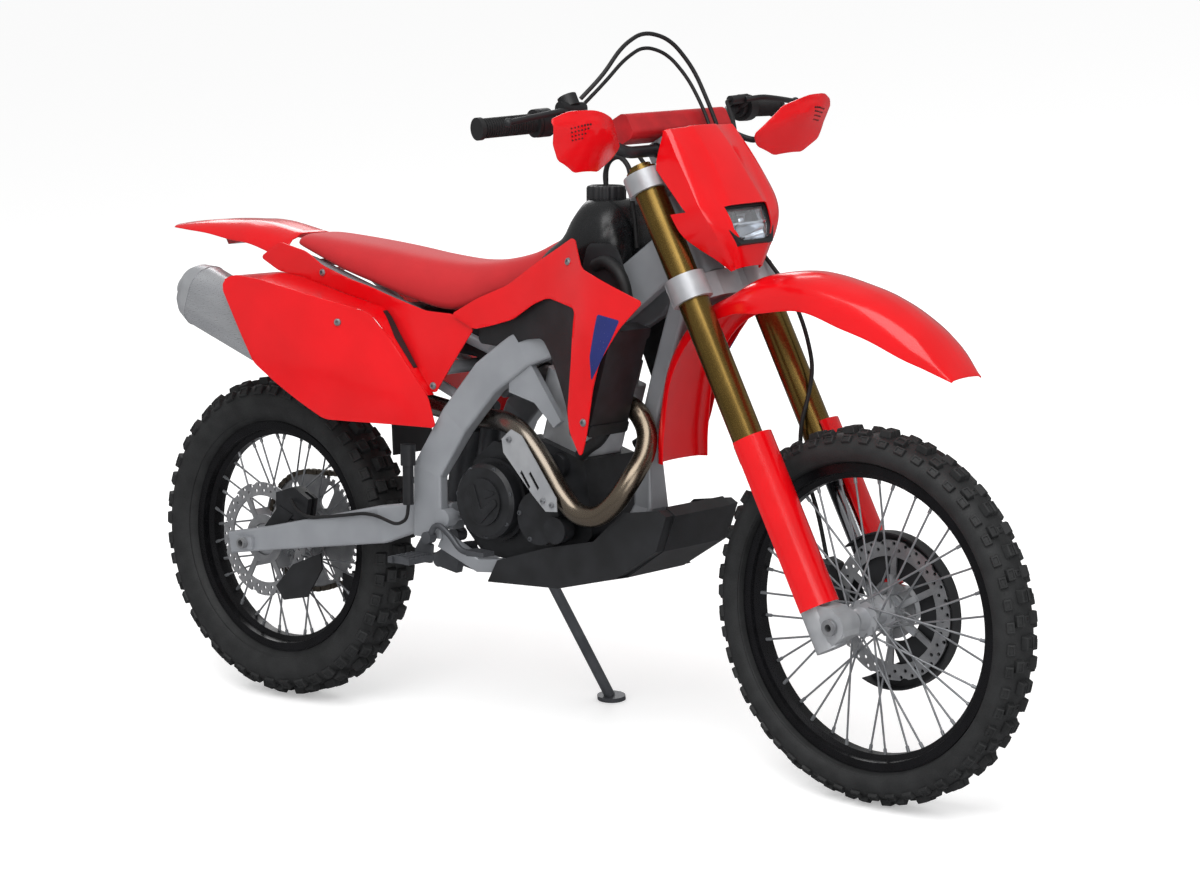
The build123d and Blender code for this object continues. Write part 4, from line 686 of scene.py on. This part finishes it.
# %% [markdown]
# ## Seat
# A long foam pad under a tight, grained gripper cover. Its sections are given along the machine, and
# the surface flows smoothly through them; one subdivision rounds it as the foam does.

# %% Seat pad
SEAT_ROWS = [(-640, 962, 980, 60, 42), (-612, 953, 985, 70, 50), (-500, 918, 977, 83, 60),
             (-400, 892, 967, 87, 64), (-300, 866, 955, 87, 64), (-200, 852, 948, 83, 60),
             (-110, 884, 954, 77, 54), (-30, 908, 971, 69, 48), (22, 940, 993, 62, 43),
             (66, 968, 1014, 56, 38)]
seat_rows = []
for x, low, high, foot, top in flowing(SEAT_ROWS, 6):
    tall = high - low
    right = [(x, -foot + 6, low), (x, -foot, low + 3), (x, -foot, low + 0.3 * tall),
             (x, -foot + 3, low + 0.6 * tall), (x, -top - 4, low + 0.86 * tall),
             (x, -0.82 * top, low + 0.965 * tall), (x, -0.4 * top, high), (x, 0, high)]
    seat_rows.append(right + [(a, -y, z) for a, y, z in reversed(right[:-1])])
seat = add_piece("seat_pad", capped(grid_mesh("seat_pad", seat_rows, closed=True)), "chassis", SEAT_VINYL,
                 BIKE, ["seat"], [("SUBSURF", {"levels": 1, "render_levels": 1})],
                 smooth_below=60)

# %% [markdown]
# ## Between the panels
# The number panel stands well out from the side cover, and its upper rim turns inwards to meet it. That
# web is a strip between the two surfaces along the shared edge. Where air goes in, a black strip lies
# on it: painted shade that stands for the dark depth of the opening.

# %% Webs, painted shade in the slots, and the dark panels behind
def strip_mesh(name, path, near, far, side, steps=4):
    """A strip along (x, z) points, from depth near(x, z) to depth far(x, z)."""
    rows = []
    for x, z in path:
        a, b = near(x, z), far(x, z)
        rows.append([(x, side * (a + (b - a) * t), z) for t in np.linspace(0, 1, steps)])
    return grid_mesh(name, rows)


WEB_PATH = [tuple(p) for p in flowing([
    (-694, 896), (-668, 905), (-600, 900), (-500, 880), (-404, 860), (-346, 845), (-306, 796), (-262, 738),
    (-222, 688)], 5)]
SLOT_PATH = [p for p in WEB_PATH if -352 < p[0] < -255]
SLOT_MIDDLE_X, SLOT_DEPTH = -305, 20
for side, word in SIDES:
    web = strip_mesh("web", WEB_PATH, lambda x, z: number_surface(x, z) - 1,
                     lambda x, z: cover_surface(x, z) - 4, side)
    add_piece("panel_web_" + word, web, "chassis", RED_PLASTIC, modifiers=[wall(2.4, 0)])
    # A black strip in the slot: painted shade that stands for the dark depth of the opening where air goes
    # in.
    slot = strip_mesh("slot", SLOT_PATH,
                      lambda x, z: cover_surface(x, z) + SLOT_DEPTH - abs(x - SLOT_MIDDLE_X) * 0.2,
                      lambda x, z: cover_surface(x, z) + 1, side)
    add_piece("air_slot_" + word, slot, "chassis", BLACK_PLASTIC,
              BIKE @ Matrix.Translation((1.6, 0, 1.6)), modifiers=[wall(1.2, 0)])
side_panels("air_box_side", [
    (-108, 826), (-60, 838), (0, 856), (60, 890), (100, 900), (188, 884), (182, 790), (172, 690),
    (184, 648), (170, 640), (140, 690), (96, 790), (70, 818), (20, 812), (-40, 792), (-110, 796)],
    [(-108, 826, 108), (0, 856, 118), (60, 884, 130), (96, 790, 136), (140, 690, 142), (188, 884, 170),
     (182, 790, 172), (180, 650, 172), (20, 812, 116), (-110, 796, 106)], BLACK_PLASTIC,
    ["radiator_louvres"])

# %% [markdown]
# ## Headlight mask and lamp
# The mask is a skin over sections across the fork: a raised band down its middle, flat cheeks, and
# sides that sweep back. The window for the lamp and the notch over each wing are cut right through.
# Cutting with a solid gives the hard edges of a real window, which a hole left in the grid would not.

# %% Mask
def prism(name, outline, axis, low, high):
    """A solid from an outline in the two axes that are not `axis`, used to cut with."""
    ends = []
    for level in (low, high):
        ring = []
        for a, b in outline:
            point = [a, b]
            point.insert(axis, level)
            ring.append(tuple(point))
        ends.append(ring)
    n = len(outline)
    faces = [tuple(range(n)), tuple(range(n, 2 * n))]
    faces += [(i, (i + 1) % n, n + (i + 1) % n, n + i) for i in range(n)]
    return mesh_of(name, ends[0] + ends[1], faces)


def cutter(mesh, matrix):
    """A hidden object that cuts others."""
    mesh.transform(matrix)
    return hidden("cutter", mesh)


MASK_ROWS = [  # height, front, band half width, cheek half width, side front, side back, half width
    (953, 112, 36, 80, 110, 99, 95), (946, 117, 37, 83, 112, 97, 96), (898, 128, 40, 82, 119, 62, 105),
    (840, 135, 44, 78, 126, 58, 110), (794, 139, 50, 72, 129, 59, 112), (760, 140, 52, 68, 128, 60, 103),
    (728, 133, 48, 58, 120, 70, 84), (700, 116, 38, 47, 104, 80, 63), (674, 96, 26, 36, 90, 83, 40)]
mask_rows = []
for w, front, band, cheek, side_front, side_back, half in flowing(MASK_ROWS, 5):
    right = [(side_back, -half, w), ((side_front + side_back) / 2, -half - 0.5, w),
             (side_front - 3, -half + 1, w), (side_front, -half + 4, w),
             ((side_front + front) / 2, -(half + cheek) / 2, w), (front - 2.5, -cheek, w),
             (front + 0.5, -band - 6, w), (front + 4, -band, w), (front + 5, -0.8 * band, w),
             (front + 6, 0, w)]
    mask_rows.append(right + [(u, -v, a) for u, v, a in reversed(right[:-1])])
mask_mesh = facing_along(grid_mesh("headlight_mask", mask_rows), 0)
LAMP_WINDOW = [(-60, 780), (60, 780), (54, 736), (38, 712), (-38, 712), (-54, 736)]
window = cutter(prism("window", LAMP_WINDOW, 0, 40, 220), FORK)
notch = cutter(prism("notch", [(30, 893), (62, 893), (94, 794), (62, 805), (30, 815)], 1, -140, 140), FORK)
add_piece("headlight_mask_skin", mask_mesh, "steering", RED_PLASTIC, FORK, ["headlight_mask"],
          [wall(2.8), ("BOOLEAN", {"operation": "DIFFERENCE", "object": window, "solver": "EXACT"}),
           ("BOOLEAN", {"operation": "DIFFERENCE", "object": notch, "solver": "EXACT"}),
           moulded_edge(0.8, 60)], smooth_below=32)
for tool in (window, notch):
    bpy.data.objects.remove(tool)
print("mask cut")

# %% [markdown]
# A lamp only looks real if there is something behind its glass. A bright lower bowl throws the main
# beam, and above a ledge sits a darker unit with slats and a small projector. The clear lens is a
# thin crowned skin in front of them, held in a black rim.

# %% Lamp
def shrunk(outline, by):
    """An outline pulled towards its middle."""
    middle = Vector((sum(p[0] for p in outline), sum(p[1] for p in outline))) / len(outline)
    return [tuple(Vector(p) + (middle - Vector(p)).normalized() * by) for p in outline]


def with_finish(mesh, material):
    """A mesh with its one material, ready to be joined."""
    mesh.materials.append(MADE[material])
    return mesh


def dish(name, v_range, w_range, back, curve, finish_name):
    """A bright dish that opens forwards."""
    v_mid, w_mid = sum(v_range) / 2, sum(w_range) / 2
    rows = [[(back + curve[0] * ((v - v_mid) / (v_range[1] - v_mid)) ** 2
              + curve[1] * ((w - w_mid) / (w_range[1] - w_mid)) ** 2, v, w)
             for v in np.linspace(*v_range, 17)] for w in np.linspace(*w_range, 9)]
    return with_finish(grid_mesh(name, rows), finish_name)


housing = with_finish(prism("housing", shrunk(LAMP_WINDOW, 1.5), 0, 84, 92), BLACK_PLASTIC)
frame_rows = [[(u, v, w) for v, w in shrunk(LAMP_WINDOW, by)]
              for u, by in ((84, -9), (133, -9), (133.5, -1), (132, 3.4), (129.5, 4.4), (92, 6))]
rim = with_finish(grid_mesh("lamp_rim", frame_rows, closed=True), BLACK_PLASTIC)
bowl = dish("bowl", (-40, 40), (716, 746), 98, (24, 20), CHROME)
upper = dish("upper", (-47, 47), (748, 772), 104, (18, 8), GROUND_STEEL)
ledge = with_finish(prism("ledge", [(-50, 745), (50, 745), (48, 749), (-48, 749)], 0, 96, 130), CHROME)
slats = [with_finish(prism("slat", [(v - 1, 750), (v + 1, 750), (v + 1, 773), (v - 1, 773)], 0, 98, 126),
                     BLACK_PLASTIC) for v in (-34, -22, 22, 34)]
projector = with_finish(grid_mesh("projector", [
    [(104 + 18 * cos(a), 14 * sin(a) * cos(b), 759 + 11 * sin(a) * sin(b))
     for b in np.linspace(0, 2 * pi, 24, False)] for a in np.linspace(pi / 2, 0.02, 8)], closed=True), CHROME)
add_piece("lamp_inside", joined("lamp_inside", [housing, rim, bowl, upper, ledge, projector] + slats),
          "steering", BLACK_PLASTIC, FORK, ["headlight"])
lens_rows = [[(129 + bulge, v, w) for v, w in shrunk(LAMP_WINDOW, by)]
             for by, bulge in ((4.6, 0), (6, 1.5), (14, 3.5), (24, 4.5))]
lens_skin = capped(grid_mesh("lens_skin", lens_rows, closed=True), lambda point: abs(point.x - 133.5) < 0.1)
add_piece("lamp_lens", lens_skin, "steering", LAMP_LENS, FORK, modifiers=[wall(2.2)],
          smooth_below=50)

# %% [markdown]
# ## Hand guards
# Each guard is a shallow shell in front of the grip, with a crease from its inner tip to its outer
# corner, a patch of dark discs painted as the shade in its air holes, and an arm back to the bar. It is
# made as the side panels are, from an outline and a surface; the crease is added to the depth, so it
# fades out by itself.

# %% Shells
def tube_mesh(name, points, radius, sides=12, steps=6):
    """A round tube through points, with closed ends."""
    path = [Vector(p) for p in flowing([tuple(p) for p in points], steps)]
    across = None
    rows = []
    for i, here in enumerate(path):
        ahead = (path[min(i + 1, len(path) - 1)] - path[max(i - 1, 0)]).normalized()
        across = (across - ahead * across.dot(ahead)) if across else ahead.orthogonal()
        across.normalize()
        other = ahead.cross(across)
        ring = [tuple(here + radius * (across * cos(a) + other * sin(a)))
                for a in np.linspace(0, 2 * pi, sides, False)]
        if i == 0:
            rows.append([tuple(here)] * sides)
        rows.append(ring)
        if i == len(path) - 1:
            rows.append([tuple(here)] * sides)
    return grid_mesh(name, rows, closed=True)


GUARD = [(190, 941, 64), (242, 975, 124), (305, 984, 146), (366, 989, 136), (395, 984, 117), (381, 944, 92),
         (368, 922, 78), (322, 903, 62), (250, 905, 52), (204, 926, 56)]
GUARD_CREASE = (Vector((186, 940)), Vector((400, 972)))
CREASE_HEIGHT, CREASE_FALL = 9, 0.42
guard_plain = through_points(GUARD + [(300, 948, 118), (345, 955, 116), (245, 945, 98)])


def guard_surface(v, w):
    """The guard's depth with its crease."""
    start, end = GUARD_CREASE
    along = (end - start).normalized()
    gap = Vector((v, w)) - start
    off = abs(gap.x * along.y - gap.y * along.x)
    return guard_plain(v, w) + max(0.0, CREASE_HEIGHT - off * CREASE_FALL)


def guard_turn(side):
    """Takes (across, depth, height) to the fork's frame, on the right (-1) or left (1)."""
    return Matrix(((0, 1, 0, 0), (side, 0, 0, 0), (0, 0, 1, 0), (0, 0, 0, 1)))


for side, word in SIDES:
    mesh = panel_mesh("guard", rounded([(v, w) for v, w, u in GUARD], 4), guard_surface, 1, cell=8)
    mesh.transform(guard_turn(side))
    facing_along(mesh, 0)
    add_piece("hand_guard_" + word, mesh, "steering", RED_PLASTIC, FORK,
              ["handguards"] if side < 0 else (), [wall(3.0), RIM], smooth_below=24)
    arm = tube_mesh("arm", [(66, side * 216, 938), (44, side * 214, 945), (16, side * 206, 975),
                            (8, side * 204, 1006)], 6)
    add_piece("guard_arm_" + word, arm, "steering", BLACK_PLASTIC, FORK)

# %% [markdown]
# ## Small parts set on surfaces
# Screws, the dark discs painted as shade in the guards' air holes, and chain links are each made once.
# They could be duplicated in a loop, but a tree of nodes sets a copy on every point of a mesh in one
# go, turned by an attribute that the points carry, so changing the copy or the points changes the
# whole row.

# %% Copies on points
set_tree, given, result = geometry_tree("copies_on_points", (("Copy", "Object"), ("Finish", "Material")))
turn = node(set_tree, "GeometryNodeInputNamedAttribute", {"data_type": "FLOAT_VECTOR"}, Name="turn")
copy = node(set_tree, "GeometryNodeObjectInfo", Object=given.outputs["Copy"])
spread = node(set_tree, "GeometryNodeInstanceOnPoints", Points=given.outputs["Geometry"],
              Instance=copy.outputs["Geometry"], Rotation=turn.outputs["Attribute"])
real = node(set_tree, "GeometryNodeRealizeInstances", Geometry=spread.outputs[0])
coloured = node(set_tree, "GeometryNodeSetMaterial", Geometry=real.outputs[0],
                Material=given.outputs["Finish"])
set_tree.links.new(coloured.outputs[0], result.inputs[0])


def copies_on(places, thing, material):
    """Copies of a mesh at each (point, where its z axis looks, as a direction or as a ready turn)."""
    points = bpy.data.meshes.new("points")
    points.from_pydata([tuple(point) for point, aim in places], [], [])
    turns = points.attributes.new("turn", "FLOAT_VECTOR", "POINT")
    for i, (point, aim) in enumerate(places):
        ready = hasattr(aim, "order")
        turns.data[i].vector = tuple(aim if ready else Vector(aim).to_track_quat("Z", "Y").to_euler())
    pattern = hidden("pattern", thing)
    mesh = run_tree(set_tree, points, Copy=pattern, Finish=MADE[material])
    bpy.data.objects.remove(pattern)
    return mesh


def screw_mesh(radius):
    """A button-head screw with a hexagon socket, looking along z."""
    def hexagon(across, a):
        return across / cos((a + pi / 6) % (pi / 3) - pi / 6)

    angles = np.linspace(0, 2 * pi, 12, False)
    rings = [(lambda a: radius, -0.3), (lambda a: radius, 0.25), (lambda a: radius * 0.86, 0.5),
             (lambda a: radius * 0.6, 0.62), (lambda a: hexagon(radius * 0.42, a), 0.6),
             (lambda a: hexagon(radius * 0.4, a), 0.15), (lambda a: 0.01, 0.12)]
    return grid_mesh("screw", [[(r(a) * cos(a), r(a) * sin(a), radius * h) for a in angles]
                               for r, h in rings], closed=True)


def on_surface(surface, x, z, side, sink=0.0):
    """A point on a side surface, with its outward direction."""
    slope_x = (surface(x + 2, z) - surface(x - 2, z)) / 4
    slope_z = (surface(x, z + 2) - surface(x, z - 2)) / 4
    return (x, side * (surface(x, z) - sink), z), Vector((-slope_x, side, -slope_z)).normalized()


shroud_surface = through_points(SHROUD_POINTS)
screws = []
for side in (-1, 1):
    screws += [on_surface(cover_surface, -218, 706, side), on_surface(cover_surface, -530, 912, side),
               on_surface(number_surface, -405, 825, side), on_surface(shroud_surface, 150, 968, side),
               on_surface(shroud_surface, 222, 676, side)]
add_piece("panel_screws", copies_on(screws, screw_mesh(7.5), ZINC), "chassis", ZINC)
hole_shade_places = []
for side in (-1, 1):
    for row in range(4):
        for column in range(7 - row):
            v, w = 318 + column * 6.4 + row * 3.2, 962 - row * 5.2
            point = Vector((guard_surface(v, w) + 0.2, side * v, w))
            hole_shade_places.append((point, (1.0, 0.0, -0.6)))
# The air holes are not cut: each is a dark disc in the black rubber finish, painted shade for the depth of
# the hole.
hole = grid_mesh("hole", [[(r * cos(a), r * sin(a), h) for a in np.linspace(0, 2 * pi, 8, False)]
                          for r, h in ((2.1, -1), (2.1, 0.1), (0.01, 0.1))], closed=True)
add_piece("guard_air_holes", copies_on(hole_shade_places, hole, RUBBER), "steering", RUBBER, FORK)
print(len(screws), "screws and", len(hole_shade_places), "air holes")

# %% [markdown]
# ## Drive chain
# The chain's path is an arc round each sprocket and the two straight runs that touch both. Pairs of
# plates are set along it, one pitch apart, narrow and wide in turn, with their rollers between. The
# number of links comes out even, as it must in a chain that joins end to end.

# %% Chain links
PITCH, CHAIN_Y = 15.875, 75
FRONT_SPROCKET, REAR_TEETH, FRONT_TEETH = Vector((-118, 452)), 50, 13


def pitch_radius(teeth):
    return PITCH / (2 * sin(pi / teeth))


def chain_path():
    """Points one pitch apart round both sprockets, as (x, z) with their direction."""
    rear, front = Vector((REAR_AXLE.x, REAR_AXLE.z)), FRONT_SPROCKET
    big, small = pitch_radius(REAR_TEETH), pitch_radius(FRONT_TEETH)
    gap = front - rear
    tilt, lift = atan2(gap.y, gap.x), acos((big - small) / gap.length)
    top, bottom = tilt + lift, tilt - lift
    dense = [rear + Vector((cos(a), sin(a))) * big for a in np.linspace(top, bottom + 2 * pi, 400)]
    dense += [front + Vector((cos(a), sin(a))) * small for a in np.linspace(bottom, top, 120)]
    dense.append(dense[0])
    out, walked = [], 0.0
    total = sum((b - a).length for a, b in zip(dense, dense[1:]))
    count = round(total / PITCH / 2) * 2
    step = total / count
    for a, b in zip(dense, dense[1:]):
        span = (b - a).length
        while len(out) * step <= walked + span and len(out) < count:
            out.append(a + (b - a) * ((len(out) * step - walked) / max(span, 1e-6)))
        walked += span
    return out


def link_mesh(name, spread_y):
    """Two waisted plates one pitch long, x along the chain, and the roller at their start."""
    profile = []
    for a in np.linspace(0, 2 * pi, 20, False):
        middle = PITCH / 2 if cos(a) > 0 else -PITCH / 2
        waist = 1 - 0.3 * (1 - abs(cos(a))) ** 2
        profile.append((middle * min(1, abs(cos(a)) * 1.6) + 6.4 * cos(a), 6.8 * sin(a) * waist))
    parts = []
    for y in (-spread_y, spread_y):
        rows = [[(0, y - 1, 0)] * 20, [(x, y - 1, z) for x, z in profile],
                [(x, y + 1, z) for x, z in profile], [(0, y + 1, 0)] * 20]
        parts.append(grid_mesh(name, rows, closed=True))
    rows = [[(PITCH / 2 + r * cos(a), y, r * sin(a)) for a in np.linspace(0, 2 * pi, 12, False)]
            for r, y in ((0.1, -9), (2.6, -9), (2.6, -7.4), (5, -5), (5, 5), (2.6, 7.4), (2.6, 9), (0.1, 9))]
    parts.append(grid_mesh(name + "_roller", rows, closed=True))
    return joined(name, parts)


stations = chain_path()
links = []
for kind, spread_y in ((0, 5.6), (1, 7.6)):
    places = []
    for i in range(kind, len(stations), 2):
        here, ahead = stations[i], stations[(i + 1) % len(stations)]
        middle, along = (here + ahead) / 2, (ahead - here).normalized()
        turned = Matrix.Rotation(-atan2(along.y, along.x), 3, "Y").to_euler()
        places.append(((middle.x, CHAIN_Y, middle.y), turned))
    links.append(copies_on(places, link_mesh("link", spread_y), CHAIN_STEEL))
add_piece("drive_chain_links", joined("drive_chain_links", links), "chassis", CHAIN_STEEL,
          stands_for=["drive_chain"])
print(len(stations), "chain links")

# %% [markdown]
# ## Tank and head
# The tank is a blow-moulded shell: rings of points that are wide at the sides and round at the back,
# stacked with a smooth curve between them, which gives the soft shoulders of a blown part. Its cap
# has finger ribs and a breather hose that loops forwards. Black shields and a hose on each side
# close the gap between the tank and the steering head.

# %% Tank
def moulded_ring(x_low, x_high, half, z, count=40):
    """A ring at height z, blunt at the front and rounder at the back."""
    out = []
    for a in np.linspace(0, 2 * pi, count, False):
        c, s = cos(a), sin(a)
        sharp = 0.62 if c > 0 else 0.8
        x = (x_low + x_high) / 2 + (x_high - x_low) / 2 * abs(c) ** sharp * (1 if c > 0 else -1)
        out.append((x, half * abs(s) ** 0.62 * (1 if s > 0 else -1), z))
    return out


TANK_RINGS = [(20, 160, 66, 862), (-10, 190, 84, 896), (-20, 206, 92, 932), (10, 214, 94, 972),
              (56, 216, 92, 1004), (72, 208, 82, 1034), (84, 194, 68, 1056), (92, 184, 54, 1070),
              (100, 172, 42, 1078)]
tank_rows = [moulded_ring(low, high, half, z) for low, high, half, z in flowing(TANK_RINGS, 3)]
tank_rows = [[(90, 0, 862)] * 40] + tank_rows + [[(134, 0, 1079)] * 40]
add_piece("tank_shell", grid_mesh("tank_shell", tank_rows, closed=True), "chassis", TANK_PLASTIC,
          BIKE, ["fuel_tank"], smooth_below=50)
CAP = Vector((122, 0, 1074))
RIB_DEPTH, RIBBED_PAST = 2.2, 35  # every second pair of points on the cap's wall is set in
cap_rows = []
for radius, z in ((0.1, 0), (38, 0), (38, 24), (36, 28), (30, 30), (29, 27), (0.1, 27)):
    row = []
    for i, a in enumerate(np.linspace(0, 2 * pi, 72, False)):
        reach = radius - (RIB_DEPTH if radius > RIBBED_PAST and i % 4 in (0, 1) else 0)
        row.append((CAP.x + reach * cos(a), reach * sin(a), CAP.z + z))
    cap_rows.append(row)
add_piece("tank_cap", grid_mesh("tank_cap", cap_rows, closed=True), "chassis", BLACK_PLASTIC)
add_piece("breather_hose", tube_mesh("breather_hose", [
    (122, 0, 1096), (120, 0, 1126), (134, -4, 1150), (162, -10, 1158), (188, -16, 1140), (198, -20, 1108),
    (204, -24, 1076), (214, -28, 1040), (222, -32, 990)], 5), "chassis", RUBBER)
side_panels("head_shield", [
    (158, 1000), (222, 1002), (238, 982), (256, 940), (280, 884), (250, 872), (190, 905), (146, 950)],
    [(158, 1000, 100), (222, 1002, 102), (256, 940, 106), (280, 884, 108), (250, 872, 108), (146, 950, 104),
     (220, 940, 110)], BLACK_PLASTIC)
for side, word in SIDES:
    hose = tube_mesh("hose", [(250, side * 108, 880), (262, side * 116, 910), (250, side * 118, 946),
                              (214, side * 112, 968), (180, side * 106, 960)], 12)
    add_piece("radiator_hose_" + word, hose, "chassis", RUBBER)

# %% [markdown]
# ## Engine covers
# The clutch cover carries a shallow pointed plate and a small window beside it, both cast on, and
# screws hold every cover round its rim. The covers themselves are solids already, so only what lies
# on them is added, with the same panel and screw helpers as the bodywork.

# %% Engine covers
def ring_of_places(x, z, radius, y, count, start=0.0):
    """Places round a circle in side view, looking outwards."""
    outward = (0, 1, 0) if y > 0 else (0, -1, 0)
    return [((x + radius * cos(a + start), y, z + radius * sin(a + start)), outward)
            for a in np.linspace(0, 2 * pi, count, False)]


cover_screws = (ring_of_places(-85, 490, 68, -119.5, 7, 0.3) + ring_of_places(48, 470, 47, -116, 5, 0.5)
                + ring_of_places(48, 470, 52, 117, 6, 0.2))
add_piece("cover_screws", copies_on(cover_screws, screw_mesh(5.2), STEEL_PAINT), "chassis", STEEL_PAINT)
POINTED_PLATE = [(-122, 516), (-104, 524), (-86, 474), (-52, 500), (-44, 488), (-88, 446), (-100, 454)]
for name, outline, lift in (("clutch_cover_point", POINTED_PLATE, 2.4),
                            ("clutch_cover_window", [(-82, 516), (-50, 512), (-58, 504), (-78, 496)], 1.6)):
    plate = panel_mesh(name, rounded(outline, 3), lambda x, z: 128, -1, cell=30, lift=lift)
    add_piece(name, plate, "chassis", ENGINE_BLACK,
              modifiers=[wall(lift + 0.4), moulded_edge(1.2)])
shield_screws = [((6, -153.2, 622), (0, -1, 0)), ((112, -153.2, 506), (0, -1, 0)),
                 ((90, -153.2, 512), (0, -1, 0))]
add_piece("shield_screws", copies_on(shield_screws, screw_mesh(5.5), ZINC), "chassis", ZINC)

# %% [markdown]
# ## Grips
# The grips are soft rubber with rings round them. One ring is made, and the tree sets its copies
# along each grip.

# %% Grip rings
BAR_END, BAR_BEND, GRIP_LENGTH = Vector((-26, 415, 1039)), Vector((14, 225, 1026)), 122
ring = ring_mesh("grip_ring", [(-1.4, 16.6), (-0.9, 18.2), (0.9, 18.2), (1.4, 16.6), (0, 15.4)], 28)
grip_rings = []
for side in (-1, 1):
    end, bend = (Vector((p.x, side * p.y, p.z)) for p in (BAR_END, BAR_BEND))
    inward = (bend - end).normalized()
    grip_rings += [(end + inward * distance, inward) for distance in np.arange(8, GRIP_LENGTH - 10, 5.2)]
add_piece("grip_rings", copies_on(grip_rings, ring, RUBBER), "steering", RUBBER, FORK)
print(len(grip_rings), "grip rings")

# %% [markdown]
# ## Floor, light and camera
# A pale floor that runs up to a white background. The floor has a slight glow that only the camera
# sees, so it looks white and still shows the shadow, and it throws no extra light on the machine.
# In reflections both are dimmer, which keeps glossy red deep.

# %% Floor and backdrop
CAMERA_GLOW = 0.33


def pale_floor(name, floor_colour, reflected_colour):
    """A matt floor that looks dimmer in reflections, so that gloss stays deep in colour."""
    material = bpy.data.materials.new(name)
    material.use_nodes = True
    tree = material.node_tree
    tree.nodes.clear()
    seen_in_gloss = node(tree, "ShaderNodeLightPath").outputs["Is Glossy Ray"]
    colour = blend_colours(tree, seen_in_gloss, floor_colour, reflected_colour)
    matt = node(tree, "ShaderNodeBsdfDiffuse", Color=colour)
    glow = node(tree, "ShaderNodeEmission", Strength=between(
        tree, node(tree, "ShaderNodeLightPath").outputs["Is Camera Ray"], 0, CAMERA_GLOW))
    both_ways = node(tree, "ShaderNodeAddShader", _0=matt.outputs[0], _1=glow.outputs[0])
    node(tree, "ShaderNodeOutputMaterial", Surface=both_ways.outputs[0])
    return material


FLOOR_HALF = 30.0
floor_mesh = bpy.data.meshes.new("floor")
floor_mesh.from_pydata([(x * FLOOR_HALF, y * FLOOR_HALF, 0) for x, y in ((-1, -1), (1, -1), (1, 1), (-1, 1))],
                       [], [(0, 1, 2, 3)])
floor = bpy.data.objects.new("floor", floor_mesh)
bpy.context.scene.collection.objects.link(floor)
floor.data.materials.append(pale_floor("pale_studio_floor", "#f2f2f2", "#8c8c8e"))

world = bpy.data.worlds.new("studio")
bpy.context.scene.world = world
world.use_nodes = True
sky = world.node_tree
sky.nodes.clear()
rays = node(sky, "ShaderNodeLightPath")
seen = node(sky, "ShaderNodeMath", {"operation": "MAXIMUM"}, _0=rays.outputs["Is Camera Ray"],
            _1=rays.outputs["Is Transmission Ray"])
soft = between(sky, rays.outputs["Is Glossy Ray"], 0.7, 0.35)
level = node(sky, "ShaderNodeMath", {"operation": "MAXIMUM"}, _0=soft, _1=seen.outputs[0]).outputs[0]
white = node(sky, "ShaderNodeBackground", Color=(1, 1, 1, 1), Strength=level)
node(sky, "ShaderNodeOutputWorld", Surface=white.outputs[0])
print("floor and backdrop ready")

# %% [markdown]
# Three soft lamps light the machine: a broad key from above, a fill from the front, and one behind
# that draws the rims. Large lamps give the long, soft-edged highlights that show a panel's shape.

# %% Lamps
def softbox(name, place, target, size, watts):
    """A large square lamp that looks at a point."""
    lamp = bpy.data.lights.new(name, "AREA")
    lamp.size, lamp.energy = size, watts
    made = bpy.data.objects.new(name, lamp)
    bpy.context.scene.collection.objects.link(made)
    made.matrix_world = (Matrix.Translation(place)
                         @ (Vector(target) - Vector(place)).to_track_quat("-Z", "Y").to_matrix().to_4x4())
    return made


softbox("key_above", (1.2, -2.0, 4.6), (0, 0, 0.5), 4.0, 150)
softbox("fill_front", (5.0, -3.0, 2.2), (0.2, 0, 0.6), 3.0, 55)
softbox("rim_behind", (-3.5, 3.5, 3.2), (0, 0, 0.7), 2.5, 60)
print(len(bpy.data.lights), "lamps")

# %% [markdown]
# The camera stands ahead of the front wheel and to its right, at chest height, with a long lens that
# keeps the wheels round. It is placed on the upright machine's axes and leans with them.

# %% Camera
LENS_MM, SENSOR_MM = 89.07, 36.0
CAMERA_AT = Vector((3669, -4401, 1376))
CAMERA_YAW, CAMERA_PITCH = radians(38.99), radians(7.79)
looking = Vector((-sin(CAMERA_YAW) * cos(CAMERA_PITCH), cos(CAMERA_YAW) * cos(CAMERA_PITCH),
                  -sin(CAMERA_PITCH)))
across = Vector((cos(CAMERA_YAW), sin(CAMERA_YAW), 0))
upwards = across.cross(looking)
turn = Matrix((across, upwards, -looking)).transposed().to_4x4()
camera = bpy.data.objects.new("camera", bpy.data.cameras.new("camera"))
camera.data.lens, camera.data.sensor_width = LENS_MM, SENSOR_MM
lean_only = Matrix.Rotation(-radians(LEAN), 4, "X")
camera.matrix_world = Matrix.Translation(BIKE @ CAMERA_AT) @ lean_only @ turn
bpy.context.scene.collection.objects.link(camera)
bpy.context.scene.camera = camera
bpy.context.scene.view_settings.view_transform = "Standard"
print("camera at", [round(v, 2) for v in camera.matrix_world.translation])
